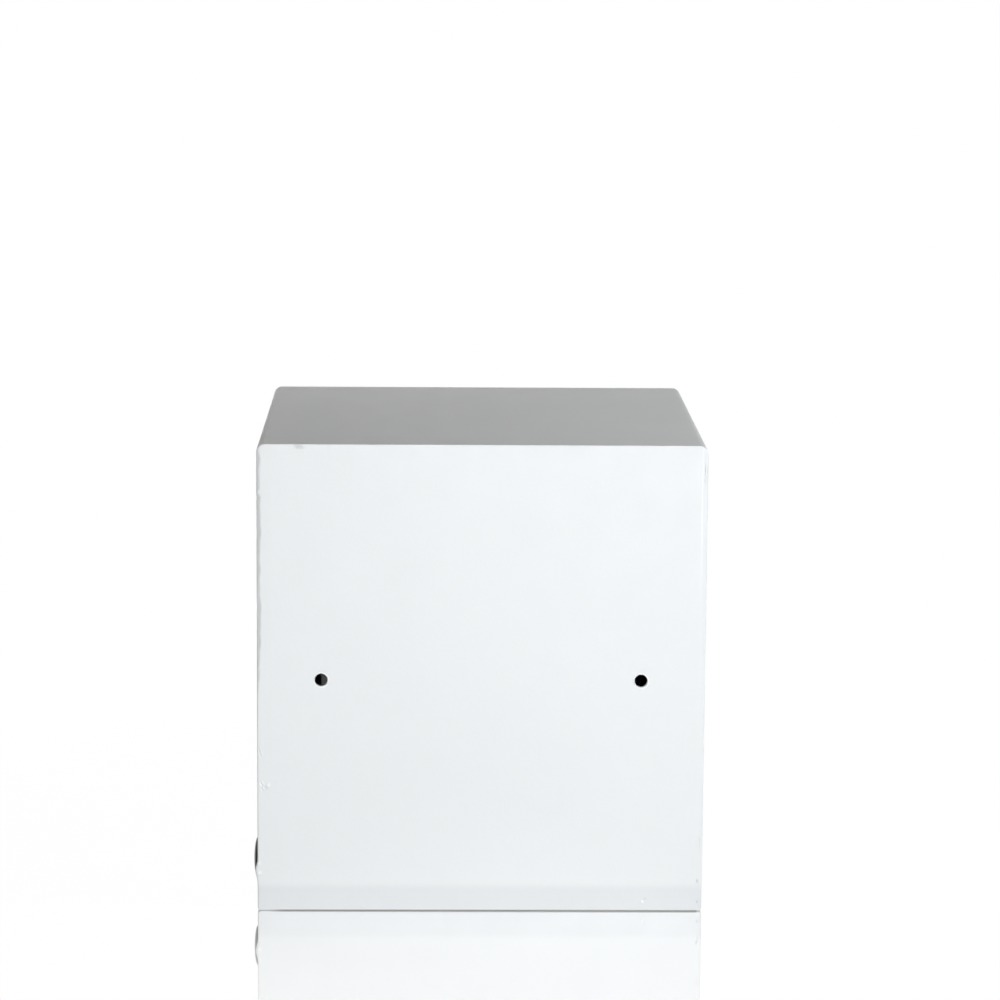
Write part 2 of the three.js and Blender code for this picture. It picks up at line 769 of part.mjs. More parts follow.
// An arc of sheet above the scoop's sweep, notched into saw teeth, with a flange welded behind the frame
function antiFishBaffle() {
  const top = baffleTop();
  const front = frameThickness - noseRadius;
  const tips = baffleStart - toothLength / baffleRadius;
  const outer = baffleRadius + baffleSheet;
  const outline = [
    new THREE.Vector2(front, top + baffleSheet),
    new THREE.Vector2(front, top),
    ...arc(0, 0, baffleRadius, baffleEnd, tips, 14),
    ...arc(0, 0, outer, tips, baffleEnd, 14),
  ];
  const half = sidePlateInner;
  const count = Math.floor((2 * half) / toothPitch);
  const first = -(count * toothPitch) / 2;
  const width = ((toothPitch / 2) * (toothLength + overrun)) / toothLength;
  const notches = Array.from({ length: count + 1 }, (_, i) => {
    const centre = first + i * toothPitch;
    const notch = [
      new THREE.Vector2(centre, 0),
      new THREE.Vector2(centre - width, -toothLength - overrun),
      new THREE.Vector2(centre + width, -toothLength - overrun),
    ];
    return extrude(notch, [], 4 * baffleSheet)
      .translate(0, 0, -2 * baffleSheet)
      .rotateX(baffleStart + Math.PI / 2)
      .translate(0, baffleRadius * Math.cos(baffleStart), baffleRadius * Math.sin(baffleStart));
  });
  return cut(sideProfile(outline, [], -half, 2 * half), ...notches);
}

// Door: y from the front face inwards

function doorPlate() {
  const outline = roundedRectangle(
    doorLockEdge, doorFoot, doorHingeEdge, doorHead, doorCornerRadius, 2,
  );
  const holes = [
    circle(knobX, boltMiddle, spindleRadius + spindleGap + bushWall + pressGap, 28),
    circle(knobX, lockHeight, lockRadius + pressGap, 28),
    circle(leadHoleX, leadHoleHeight, leadHoleRadius, 16),
  ];
  return frontPlate(outline, holes, 0, doorThickness);
}

// A block welded behind the door plate with the pin's bore along Z
function hingeLug(foot) {
  const x0 = hingeX - lugWidth / 2;
  const x1 = hingeX + lugWidth / 2;
  const back = doorThickness + lugDepth;
  const outline = [
    new THREE.Vector2(x0, doorThickness),
    new THREE.Vector2(x1, doorThickness),
    new THREE.Vector2(x1, back - lugChamfer),
    new THREE.Vector2(x1 - lugChamfer, back),
    new THREE.Vector2(x0 + lugChamfer, back),
    new THREE.Vector2(x0, back - lugChamfer),
  ];
  const bore = circle(hingeX, hingeSetback, hingePinRadius + pressGap, 24);
  return levelPlate(outline, [bore], foot, lugHeight);
}

function hingePin(lugFoot, upwards) {
  const reach = lugHeight + lugFromEdge + doorGap + jambSheet + hingeBushHeight - hingePinInset;
  const near = upwards ? lugFoot + hingePinInset : lugFoot + lugHeight - hingePinInset - reach;
  const profile = [
    [0, 0], [hingePinRadius, 0], [hingePinRadius, reach - hingePinChamfer],
    [hingePinRadius - hingePinChamfer, reach], [0, reach],
  ];
  const pin = turned(profile, 24).rotateX(upwards ? Math.PI / 2 : -Math.PI / 2);
  return pin.translate(hingeX, hingeSetback, upwards ? near : near + reach);
}

// An angle beside the lock edge that guides the bolts
function boltGuide() {
  const x = doorLockEdge + guideFromEdge;
  const depth = boltSetback + boltRadius + guideMargin - doorThickness;
  const corners = [
    new THREE.Vector2(x + guideFoot, doorThickness + guideSheet / 2),
    new THREE.Vector2(x + guideSheet / 2, doorThickness + guideSheet / 2),
    new THREE.Vector2(x + guideSheet / 2, doorThickness + depth),
  ];
  const outline = foldedSheet(corners, guideSheet, [guideBend]);
  const past = boltRadius + guideMargin;
  const foot = boltHeights[2] - past;
  const angle = levelPlate(outline, [], foot, boltHeights[0] + past - foot);
  const holes = boltHeights.map((z) => rodAlongX(
    boltRadius + boltGuideGap, x - overrun, x + guideSheet + overrun, boltSetback, z, 24,
  ));
  return cut(angle, ...holes);
}

// Web across the three bolts, with an arm that holds the guide slots, the crank slot and the plunger's notch
function boltCarrier() {
  const near = boltSetback - carrierSheet / 2;
  const past = boltRadius + carrierWebMargin;
  const web = sideProfile(
    roundedRectangle(
      boltSetback - carrierWebWidth / 2, boltHeights[2] - past,
      boltSetback + carrierWebWidth / 2, boltHeights[0] + past, carrierCorner, 3,
    ), [], webX, carrierSheet,
  );
  const arm = roundedRectangle(
    webX + overrun, boltMiddle - carrierArmHeight / 2, armEnd, armTop, carrierCorner, 4,
  );
  const studSlots = [-studFromKnob, studFromKnob].map((offset) => {
    const x = webX + studFromWeb;
    return slotAlongX(x, x + boltThrow, boltMiddle + offset, studRadius + studSlotGap);
  });
  const crankX = knobX + crankRadius * Math.sin(crankTravelAngle / 2);
  const slotHalf = crankPinRadius + crankSlotGap;
  const crankSlot = roundedRectangle(
    crankX - slotHalf, boltMiddle + crankPinHeight - slotHalf,
    crankX + slotHalf, boltMiddle + crankRadius + slotHalf, crankPinRadius, 6,
  );
  const plate = frontPlate(arm, [...studSlots, crankSlot], near, carrierSheet);
  const notchHalf = plungerRadius + notchGap;
  const notchX = plungerX + boltThrow;
  const notch = block(
    notchX - notchHalf, notchX + notchHalf, near - overrun, near + carrierSheet + overrun,
    armTop - notchDepth, armTop + overrun,
  );
  return surface(solid(plate).add(solid(web)).subtract(solid(notch)));
}

function liveBolt(z) {
  const profile = [
    [0, 0], [boltRadius, 0], [boltRadius, boltLength - boltChamfer],
    [boltRadius - boltChamfer, boltLength], [0, boltLength],
  ];
  return turned(profile, 24).rotateZ(Math.PI / 2).translate(boltTip + boltLength, boltSetback, z);
}

// A shouldered stud on the door plate; its head keeps the carrier's arm flat
function carrierStud(z) {
  const shoulder = boltSetback - carrierSheet / 2 - studSlotGap;
  const head = boltSetback + carrierSheet / 2 + studSlotGap;
  const end = head + studHead;
  const profile = [
    [0, doorThickness], [studHeadRadius, doorThickness], [studHeadRadius, shoulder],
    [studRadius, shoulder], [studRadius, head], [studHeadRadius, head],
    [studHeadRadius, end - studHeadChamfer], [studHeadRadius - studHeadChamfer, end], [0, end],
  ];
  return turned(profile, 16).translate(webX + studFromWeb, 0, z);
}

// Knob with a skirt, a fluted grip and a dished face
function turnKnob() {
  const back = -rosetteThickness - rosetteGap;
  const face = back - knobHeight;
  const bore = spindleRadius + pressGap;
  const neck = back - 2 * knobSkirt;
  const profile = [
    [bore, back], [knobSkirtRadius, back], [knobSkirtRadius, back - knobSkirt], [knobRadius, neck],
    [knobRadius - knobDish / 2, face + knobRim], [knobRadius - knobRim, face],
    [knobRadius - 2 * knobRim, face + knobDish / 2], [0, face + knobDish],
    [0, face + knobSocket], [bore, face + knobSocket], [bore, back],
  ];
  const body = turned(profile, 36);
  const flutes = Array.from({ length: knobFlutes }, (_, i) => {
    const angle = (2 * Math.PI * (i + 0.5)) / knobFlutes;
    const reach = knobRadius + knobFluteRadius - knobFluteDepth;
    return rodAlongY(
      knobFluteRadius, face - overrun, neck - overrun,
      reach * Math.cos(angle), reach * Math.sin(angle), 12,
    );
  });
  return cut(body, ...flutes).translate(knobX, 0, boltMiddle);
}

// Round plate and sleeve through the door that the spindle turns in
function knobRosette() {
  const bore = spindleRadius + spindleGap;
  const profile = [
    [bore, doorThickness], [bore, -rosetteThickness], [rosetteRadius - rosetteChamfer, -rosetteThickness],
    [rosetteRadius, -rosetteThickness + rosetteChamfer], [rosetteRadius, 0], [bore + bushWall, 0],
    [bore + bushWall, doorThickness], [bore, doorThickness],
  ];
  return turned(profile, 32).translate(knobX, 0, boltMiddle);
}

function knobSpindle() {
  const start = -rosetteThickness - rosetteGap - knobHeight + knobSocket + spindleGap;
  return rodAlongY(
    spindleRadius, start, doorThickness + crankSetback - pressGap, knobX, boltMiddle, 24,
  );
}

// A pear-shaped crank with its pin through the carrier's slot
function driveCrank() {
  const near = doorThickness + crankSetback;
  const pinX = knobX + crankRadius * Math.sin(crankTravelAngle / 2);
  const pinZ = boltMiddle + crankPinHeight;
  const lean = Math.PI / 2 - crankTravelAngle / 2;
  const hub = spindleRadius + crankEdge;
  const tip = crankPinRadius + crankEdge / 2;
  const spread = Math.acos((hub - tip) / crankRadius);
  const outline = [
    ...arc(knobX, boltMiddle, hub, lean + spread, lean + 2 * Math.PI - spread, 16),
    ...arc(pinX, pinZ, tip, lean - spread, lean + spread, 10),
  ];
  const plate = frontPlate(outline, [], near, crankThickness);
  const pin = rodAlongY(
    crankPinRadius, near + overrun, boltSetback + carrierSheet / 2 + crankPinPast, pinX, pinZ, 20,
  );
  return joined(plate, pin);
}

// Solenoid: a bent frame open at the sides round a coil, bored for the plunger
function solenoid() {
  const x0 = plungerX - solenoidWidth / 2;
  const near = doorThickness + solenoidStandOff;
  const top = solenoidFoot + solenoidHeight;
  const frame = frontPlate(
    roundedRectangle(x0, solenoidFoot, x0 + solenoidWidth, top, 1, 2),
    [roundedRectangle(
      x0 + solenoidFrameSheet, solenoidFoot + solenoidFrameSheet,
      x0 + solenoidWidth - solenoidFrameSheet, top - solenoidFrameSheet, 1, 2,
    )], near, solenoidDepth,
  );
  const coil = rodAlongZ(
    coilRadius, solenoidFoot + overrun, top - overrun, plungerX, boltSetback, 24,
  );
  const bore = rodAlongZ(
    plungerRadius + plungerGap, solenoidFoot - overrun, top - solenoidBoreEnd, plungerX, boltSetback, 20,
  );
  return surface(solid(frame).add(solid(coil)).subtract(solid(bore)));
}

// A round rod with the flat tab that the emergency cam lifts
function solenoidPlunger() {
  const top = solenoidFoot + solenoidHeight - solenoidBoreEnd - plungerStroke - 2 * plungerGap;
  const profile = [
    [0, 0], [plungerRadius - plungerChamfer, 0], [plungerRadius, plungerChamfer],
    [plungerRadius, top - plungerTip], [0, top - plungerTip],
  ];
  const rod = turned(profile, 20).rotateX(Math.PI / 2).translate(plungerX, boltSetback, plungerTip);
  const tab = levelPlate(
    roundedRectangle(
      plungerX - liftTabBack, boltSetback - liftTabHalfDepth,
      plungerX + liftTabReach, boltSetback + liftTabHalfDepth, 2, 3,
    ), [], tabHeight, liftTabThickness,
  );
  return joined(rod, tab);
}

// Cylinder body with a flange in front of the door plate
function emergencyLock() {
  const back = boltSetback - liftTabHalfDepth - 2 * camGap;
  const bore = lockPlugRadius + lockPlugGap;
  const profile = [
    [bore, back], [bore, -lockFlange], [lockFlangeRadius - lockFlange / 2, -lockFlange],
    [lockFlangeRadius, -lockFlange / 2], [lockFlangeRadius, 0], [lockRadius, 0], [lockRadius, back],
    [bore, back],
  ];
  return turned(profile, 28).translate(knobX, 0, lockHeight);
}

// The plug that the key turns, with an involute cam behind it that lifts the flat tab evenly
function keyPlug() {
  const back = boltSetback - liftTabHalfDepth;
  const barrel = rodAlongY(lockPlugRadius, -lockFlange + plugRecess, back - lockPlugGap, 0, 0, 28);
  const camNear = back + camSetback;
  const link = rodAlongY(camStartRadius - 1, back - overrun, camNear + overrun, 0, 0, 20);
  const steps = 14;
  const rise = plungerStroke / (Math.PI / 2); // per radian of turn
  const flank = Array.from({ length: steps + 1 }, (_, i) => {
    const normal = (Math.PI / 2) * (1 - i / steps);
    const height = camStartRadius + rise * (Math.PI / 2 - normal);
    return new THREE.Vector2(
      height * Math.cos(normal) + rise * Math.sin(normal),
      height * Math.sin(normal) - rise * Math.cos(normal),
    );
  });
  const heel = arc(0, 0, camStartRadius, -0.6, (-3 * Math.PI) / 2, 14);
  const cam = frontPlate([...flank, ...heel], [], camNear, camThickness);
  const slot = block(
    -keySlotWidth / 2, keySlotWidth / 2, -lockFlange - overrun, -lockFlange + keySlotDepth,
    -keySlotLength / 2, keySlotLength / 2,
  );
  const body = solid(barrel).add(solid(link)).add(solid(cam)).subtract(solid(slot));
  return surface(body).translate(knobX, 0, lockHeight);
}

// Keypad

const keyNames = ['1', '2', '3', '4', '5', '6', '7', '8', '9', 'clear', '0', 'enter'];

function keyCentre(index) {
  const column = index % 3;
  const row = Math.floor(index / 3);
  return [
    keypadCentreX + (column - 1) * keyPitchX,
    boltMiddle + keysAboveCentre + (1.5 - row) * keyPitchZ,
  ];
}

// Outline of the moulding drawn in by an amount
function keypadOutline(inset) {
  return roundedRectangle(
    keypadCentreX - keypadWidth / 2 + inset, keypadFoot + inset,
    keypadCentreX + keypadWidth / 2 - inset, keypadFoot + keypadHeight - inset, keypadCorner - inset / 2, 6,
  );
}

// A closed skin between two outlines of equal point counts, capped at both ends
function loft(rings) {
  const count = rings[0].points.length;
  const positions = rings.flatMap(({ points, y }) => points.flatMap((p) => [p.x, y, p.y]));
  const index = [];
  for (let ring = 0; ring < rings.length - 1; ring += 1) {
    for (let i = 0; i < count; i += 1) {
      const a = ring * count + i;
      const b = ring * count + ((i + 1) % count);
      index.push(a, b, b + count, a, b + count, a + count);
    }
  }
  const cap = (ring, flip) => THREE.ShapeUtils.triangulateShape(rings[ring].points, [])
    .forEach(([a, b, c]) => {
      const base = ring * count;
      index.push(...(flip ? [base + a, base + c, base + b] : [base + a, base + b, base + c]));
    });
  cap(0, true);
  cap(rings.length - 1, false);
  const geometry = new THREE.BufferGeometry();
  geometry.setAttribute('position', new THREE.Float32BufferAttribute(positions, 3));
  geometry.setIndex(index);
  return geometry;
}

// Moulded case, open at the back, with a sloped border, twelve key holes and the battery bay
function keypadHousing() {
  const shell = loft([
    { points: keypadOutline(0), y: 0 },
    { points: keypadOutline(0), y: -keypadDepth + keypadEdge },
    { points: keypadOutline(keypadEdge), y: -keypadDepth },
  ]);
  const hollow = loft([
    { points: keypadOutline(keypadWall), y: overrun },
    { points: keypadOutline(keypadWall), y: -keypadDepth + keypadEdge + keypadWall },
    { points: keypadOutline(keypadEdge + 1), y: -keypadDepth + keypadWall },
  ]);
  const holes = keyNames.map((_, i) => {
    const [x, z] = keyCentre(i);
    return frontPlate(keyOutline(x, z, keyGap), [], -keypadDepth - overrun, keypadWall + 2 * overrun);
  });
  const bay = frontPlate(
    batteryCoverOutline(batteryCoverGap), [], -keypadDepth - overrun, batteryCoverThickness + overrun,
  );
  const mouth = frontPlate(
    batteryCoverOutline(-batteryCoverSeat), [], -keypadDepth - overrun, keypadWall + 2 * overrun,
  );
  return surface([hollow, ...holes, bay, mouth].reduce(
    (body, tool) => body.subtract(solid(tool)), solid(shell),
  ));
}

function keyOutline(x, z, grow) {
  return roundedRectangle(
    x - keyWidth / 2 - grow, z - keyHeight / 2 - grow,
    x + keyWidth / 2 + grow, z + keyHeight / 2 + grow, keyCorner + grow, 2,
  );
}

function batteryCoverOutline(grow) {
  const foot = keypadFoot + keypadEdge + batteryCoverFromFoot;
  return roundedRectangle(
    keypadCentreX - batteryCoverWidth / 2 - grow, foot - grow,
    keypadCentreX + batteryCoverWidth / 2 + grow, foot + batteryCoverHeight + grow,
    batteryCoverCorner + Math.max(grow, -1), 3,
  );
}

// A cap with a crowned face and a retaining flange behind the case
function keypadKey(index) {
  const [x, z] = keyCentre(index);
  const inside = -keypadDepth + keypadWall + keyGap;
  const ring = (grow, y) => ({ points: keyOutline(x, z, grow), y });
  return loft([
    ring(keyFlange, inside + keyFlangeThickness),
    ring(keyFlange, inside),
    ring(0, inside),
    ring(0, -keypadDepth - keyProud + keyCrown),
    ring(-keyCrownInset, -keypadDepth - keyProud),
  ]);
}

function batteryCover() {
  return frontPlate(batteryCoverOutline(0), [], -keypadDepth, batteryCoverThickness - batteryCoverGap);
}

function circuitBoard() {
  const foot = keypadFoot + keypadEdge + batteryCoverFromFoot + batteryCoverHeight + boardFromBattery;
  const outline = roundedRectangle(
    keypadCentreX - keypadWidth / 2 + keypadWall + boardMargin, foot,
    keypadCentreX + keypadWidth / 2 - keypadWall - boardMargin,
    keypadFoot + keypadHeight - keypadWall - boardMargin, boardCorner, 3,
  );
  const leadHole = circle(leadHoleX, leadHoleHeight, leadRadius + boardClearance, 12);
  return frontPlate(outline, [leadHole], boardFront, boardThickness);
}

function battery() {
  const foot = keypadFoot + keypadEdge + batteryCoverFromFoot + (batteryCoverHeight - batteryHeight) / 2;
  const near = -keypadDepth + batteryCoverThickness + batteryBayGap;
  const x0 = keypadCentreX - batteryWidth / 2;
  return frontPlate(
    roundedRectangle(x0, foot, x0 + batteryWidth, foot + batteryHeight, 2, 3), [], near, batteryDepth,
  );
}

// Tray over the boltwork, with bolt holes in its lock side and a flange on its hinge side
function doorCover() {
  const outer = roundedRectangle(coverLeft, coverFoot, coverRight, coverHead, coverCorner, 4);
  const inner = roundedRectangle(
    coverLeft + coverSheet, coverFoot + coverSheet, coverRight - coverSheet, coverHead - coverSheet,
    coverCorner - coverSheet, 4,
  );
  const tray = frontPlate(outer, [], doorThickness, coverDepth);
  const hollow = frontPlate(inner, [], doorThickness - overrun, coverDepth - coverSheet + overrun);
  const boltHoles = boltHeights.map((z) => rodAlongX(
    boltRadius + coverBoltGap, coverLeft - overrun, coverLeft + coverSheet + overrun, boltSetback, z, 24,
  ));
  const button = rodAlongY(
    resetButtonRadius + resetButtonGap, coverBack - coverSheet - overrun, coverBack + overrun,
    coverRight - resetButtonFromHinge, resetButtonHeight, 20,
  );
  const flange = frontPlate(
    roundedRectangle(
      coverRight - coverCorner, coverFoot + coverCorner,
      coverRight + coverFlange, coverHead - coverCorner, 2, 3,
    ), [], doorThickness, coverSheet,
  );
  return surface([hollow, ...boltHoles, button].reduce(
    (body, tool) => body.subtract(solid(tool)), solid(tray).add(solid(flange)),
  ));
}

// Round button that stands through the inner cover
function resetButton() {
  const inner = coverBack - coverSheet - resetButtonGap;
  const out = coverBack + resetButtonProud;
  const flange = resetButtonRadius + resetButtonFlange;
  const profile = [
    [0, inner - resetButtonLength], [resetButtonRadius, inner - resetButtonLength],
    [resetButtonRadius, inner - resetButtonFlange], [flange, inner - resetButtonFlange], [flange, inner],
    [resetButtonRadius, inner], [resetButtonRadius, out - resetButtonChamfer],
    [resetButtonRadius - resetButtonChamfer, out], [0, out],
  ];
  return turned(profile, 20).translate(coverRight - resetButtonFromHinge, 0, resetButtonHeight);
}

// Two-core lead from the solenoid along the door plate and out through its hole to the board
function solenoidLead() {
  const startX = plungerX + solenoidWidth / 2 + leadEndGap;
  const level = doorThickness + leadRadius + leadAbovePlate;
  const startZ = solenoidFoot + solenoidHeight / 2;
  const end = boardFront + boardThickness + leadEndGap;
  const path = new THREE.CatmullRomCurve3([
    new THREE.Vector3(startX, level, startZ),
    new THREE.Vector3(startX + 14, level, startZ),
    new THREE.Vector3(leadHoleX - 14, level, startZ - 8),
    new THREE.Vector3(leadHoleX - 2, level, leadHoleHeight + 8),
    new THREE.Vector3(leadHoleX, level - 4, leadHoleHeight),
    new THREE.Vector3(leadHoleX, -3, leadHoleHeight),
    new THREE.Vector3(leadHoleX, end, leadHoleHeight),
  ], false, 'centripetal');
  const section = new THREE.Shape(circle(0, 0, leadRadius, 8));
  return new THREE.ExtrudeGeometry(section, { steps: 26, bevelEnabled: false, extrudePath: path });
}

// Assembly: the cabinet group's y starts at the front face
const safe = new THREE.Group();
const cabinet = new THREE.Group();
cabinet.position.set(0, -cabinetDepth / 2, 0);
safe.add(cabinet);

piece(cabinet, 'body_wrap', bodyWrap(), paint());
piece(cabinet, 'back_plate', backPlate(), paint());
piece(cabinet, 'front_frame', frontFrame(), paint());
piece(cabinet, 'door_jamb', doorJamb(), paint());
piece(cabinet, 'hinge_bush_top', hingeBush(doorSill + doorOpeningHeight + jambSheet), zincPlate());
piece(cabinet, 'hinge_bush_bottom', hingeBush(doorSill - jambSheet - hingeBushHeight), zincPlate());
piece(cabinet, 'floor_mat', floorMat(), greyFelt());
piece(cabinet, 'cable_plug', cablePlug(), blackPlastic())
  .position.set(halfWidth, cabinetDepth - cableHoleFromBack, cableHoleHeight);

const hopper = new THREE.Group();
hopper.position.set(0, noseRadius, hopperPivotHeight);
cabinet.add(hopper);
piece(hopper, 'hopper_side_left', hopperSidePlate(-1), zincPlate());
piece(hopper, 'hopper_side_right', hopperSidePlate(1), zincPlate());
piece(hopper, 'hopper_bush_left', hopperBush(-1), brassMetal());
piece(hopper, 'hopper_bush_right', hopperBush(1), brassMetal());
piece(hopper, 'anti_fish_baffle', antiFishBaffle(), zincPlate());
piece(hopper, 'hopper_flap', hopperFlap(), paint());
piece(hopper, 'hopper_scoop', hopperScoop(), zincPlate());
piece(hopper, 'scoop_cheek_left', scoopCheek(-cheekOuter), zincPlate());
piece(hopper, 'scoop_cheek_right', scoopCheek(cheekOuter - cheekSheet), zincPlate());
piece(hopper, 'hopper_pin_left', hopperPin(-1), polishedSteel());
piece(hopper, 'hopper_pin_right', hopperPin(1), polishedSteel());
piece(hopper, 'hopper_handle', hopperHandle(), polishedSteel());

const door = new THREE.Group();
cabinet.add(door);
const topLugFoot = doorHead - lugFromEdge - lugHeight;
const bottomLugFoot = doorFoot + lugFromEdge;
piece(door, 'door_plate', doorPlate(), paint());
piece(door, 'hinge_lug_top', hingeLug(topLugFoot), zincPlate());
piece(door, 'hinge_lug_bottom', hingeLug(bottomLugFoot), zincPlate());
piece(door, 'hinge_pin_top', hingePin(topLugFoot, true), polishedSteel());
piece(door, 'hinge_pin_bottom', hingePin(bottomLugFoot, false), polishedSteel());
piece(door, 'bolt_guide', boltGuide(), zincPlate());
piece(door, 'carrier_stud_top', carrierStud(boltMiddle + studFromKnob), polishedSteel());
piece(door, 'carrier_stud_bottom', carrierStud(boltMiddle - studFromKnob), polishedSteel());
piece(door, 'door_cover', doorCover(), blackPlastic());
piece(door, 'knob_rosette', knobRosette(), polishedSteel());
piece(door, 'emergency_lock', emergencyLock(), polishedSteel());
piece(door, 'solenoid', solenoid(), zincPlate());
piece(door, 'solenoid_lead', solenoidLead(), blackPlastic());
piece(door, 'keypad_housing', keypadHousing(), blackPlastic());
piece(door, 'circuit_board', circuitBoard(), greenBoard());
piece(door, 'battery', battery(), blackPlastic());
piece(door, 'battery_cover', batteryCover(), blackPlastic());

piece(door, 'bolt_carrier', boltCarrier(), zincPlate());
piece(door, 'live_bolt_top', liveBolt(boltHeights[0]), polishedSteel());
piece(door, 'live_bolt_middle', liveBolt(boltHeights[1]), polishedSteel());
piece(door, 'live_bolt_bottom', liveBolt(boltHeights[2]), polishedSteel());

piece(door, 'turn_knob', turnKnob(), blackPlastic());
piece(door, 'knob_spindle', knobSpindle(), polishedSteel());
piece(door, 'drive_crank', driveCrank(), zincPlate());
piece(door, 'solenoid_plunger', solenoidPlunger(), polishedSteel());
piece(door, 'key_plug', keyPlug(), brassMetal());
piece(door, 'reset_button', resetButton(), redPlastic());
keyNames.forEach((name, i) => piece(door, `key_${name}`, keypadKey(i), keyRubber()));

export default safe;
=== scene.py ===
import json
import math
from contextlib import contextmanager

import bmesh
import bpy
import numpy as np
from mathutils import Matrix, Vector
from mathutils.geometry import tessellate_polygon

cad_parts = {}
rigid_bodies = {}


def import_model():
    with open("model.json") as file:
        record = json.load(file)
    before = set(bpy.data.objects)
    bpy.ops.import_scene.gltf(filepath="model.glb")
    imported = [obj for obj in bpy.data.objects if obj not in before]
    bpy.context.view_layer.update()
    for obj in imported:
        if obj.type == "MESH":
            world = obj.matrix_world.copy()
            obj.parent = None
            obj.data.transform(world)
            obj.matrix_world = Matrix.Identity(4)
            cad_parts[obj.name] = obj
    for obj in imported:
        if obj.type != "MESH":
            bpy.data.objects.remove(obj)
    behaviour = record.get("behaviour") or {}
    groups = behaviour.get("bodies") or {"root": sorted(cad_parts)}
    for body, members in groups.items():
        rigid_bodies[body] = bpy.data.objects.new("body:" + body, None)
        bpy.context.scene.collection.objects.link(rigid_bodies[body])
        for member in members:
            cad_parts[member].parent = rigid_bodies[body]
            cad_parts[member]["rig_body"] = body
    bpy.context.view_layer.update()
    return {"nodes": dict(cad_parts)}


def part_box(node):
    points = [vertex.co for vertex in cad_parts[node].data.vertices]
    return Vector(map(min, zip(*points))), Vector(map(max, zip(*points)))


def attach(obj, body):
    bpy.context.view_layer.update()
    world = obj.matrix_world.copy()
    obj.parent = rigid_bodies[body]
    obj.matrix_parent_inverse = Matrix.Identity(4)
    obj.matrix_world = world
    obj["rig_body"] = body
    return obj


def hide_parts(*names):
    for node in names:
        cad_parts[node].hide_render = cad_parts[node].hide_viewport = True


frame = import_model()
nodes = frame["nodes"]
scene = bpy.context.scene


# camera, from the corners of the back and the top in the photograph
cameraSettings = {
    "place": (0.04, 2.9801, 0.7883),
    "yaw": -1.0951,
    "pitchDown": 9.2821,
    "roll": 0.406,
    "focalPixels": 3675.3,
    "imagePixels": 1000,
    "sensor": 36,
    "clip": (0.05, 60),
}


def makeCamera(settings):
    yaw, pitch, roll = (math.radians(settings[key]) for key in ("yaw", "pitchDown", "roll"))
    forward = Vector((math.sin(yaw) * math.cos(pitch), -math.cos(yaw) * math.cos(pitch), -math.sin(pitch)))
    right = forward.cross(Vector((0, 0, 1))).normalized()
    up = right.cross(forward)
    rolledRight = math.cos(roll) * right + math.sin(roll) * up
    rolledUp = math.cos(roll) * up - math.sin(roll) * right
    data = bpy.data.cameras.new("viewCamera")
    data.sensor_width = settings["sensor"]
    data.lens = settings["focalPixels"] * settings["sensor"] / settings["imagePixels"]
    data.clip_start, data.clip_end = settings["clip"]
    camera = bpy.data.objects.new("viewCamera", data)
    axes = Matrix((rolledRight, rolledUp, -forward)).transposed().to_4x4()
    camera.matrix_world = Matrix.Translation(settings["place"]) @ axes
    scene.collection.objects.link(camera)
    scene.camera = camera


makeCamera(cameraSettings)
scene.view_settings.view_transform = "Standard"
print("camera placed")


# shader helpers
def addNode(tree, kind, inputs=None, **properties):
    node = tree.nodes.new(kind)
    for key, value in properties.items():
        setattr(node, key, value)
    for key, value in (inputs or {}).items():
        socket = node.inputs[key]
        if isinstance(value, bpy.types.NodeSocket):
            tree.links.new(value, socket)
        else:
            socket.default_value = value
    return node


def startMaterial(name, **sockets):
    material = bpy.data.materials.new(name)
    material.use_nodes = True
    tree = material.node_tree
    shader = tree.nodes["Principled BSDF"]
    for key, value in sockets.items():
        shader.inputs[key].default_value = value
    return material, tree, shader


def connectFinish(tree, shader, tone, normal, roughness=None):
    tree.links.new(tone, shader.inputs["Base Color"])
    tree.links.new(normal, shader.inputs["Normal"])
    if roughness is not None:
        tree.links.new(roughness, shader.inputs["Roughness"])


def objectCoordinates(tree, scale=(1, 1, 1), place=(0, 0, 0)):
    source = addNode(tree, "ShaderNodeTexCoord").outputs["Object"]
    return addNode(
        tree, "ShaderNodeMapping", {"Vector": source, "Scale": scale, "Location": place}
    ).outputs["Vector"]


def noise(tree, vector, scale, detail, rough=0.5):
    return addNode(
        tree, "ShaderNodeTexNoise",
        {"Vector": vector, "Scale": scale, "Detail": detail, "Roughness": rough},
    ).outputs["Fac"]


def remap(tree, value, low, high, toLow, toHigh):
    return addNode(
        tree, "ShaderNodeMapRange",
        {"Value": value, "From Min": low, "From Max": high, "To Min": toLow, "To Max": toHigh},
    ).outputs["Result"]


def mixColours(tree, factor, first, second):
    node = addNode(tree, "ShaderNodeMix", data_type="RGBA")
    tree.links.new(factor, node.inputs["Factor"])
    for socket, colour in ((node.inputs[6], first), (node.inputs[7], second)):
        if isinstance(colour, bpy.types.NodeSocket):
            tree.links.new(colour, socket)
        else:
            socket.default_value = (*colour, 1)
    return node.outputs[2]


def bump(tree, height, distance, strength, before=None):
    inputs = {"Height": height, "Distance": distance, "Strength": strength}
    if before is not None:
        inputs["Normal"] = before
    return addNode(tree, "ShaderNodeBump", inputs).outputs["Normal"]


def arithmetic(tree, operation, first, second):
    return addNode(tree, "ShaderNodeMath", {0: first, 1: second}, operation=operation).outputs[0]


def vectorStep(tree, operation, first, second=(0, 0, 0), output=0):
    inputs = {0: first, 1: second}
    return addNode(tree, "ShaderNodeVectorMath", inputs, operation=operation).outputs[output]


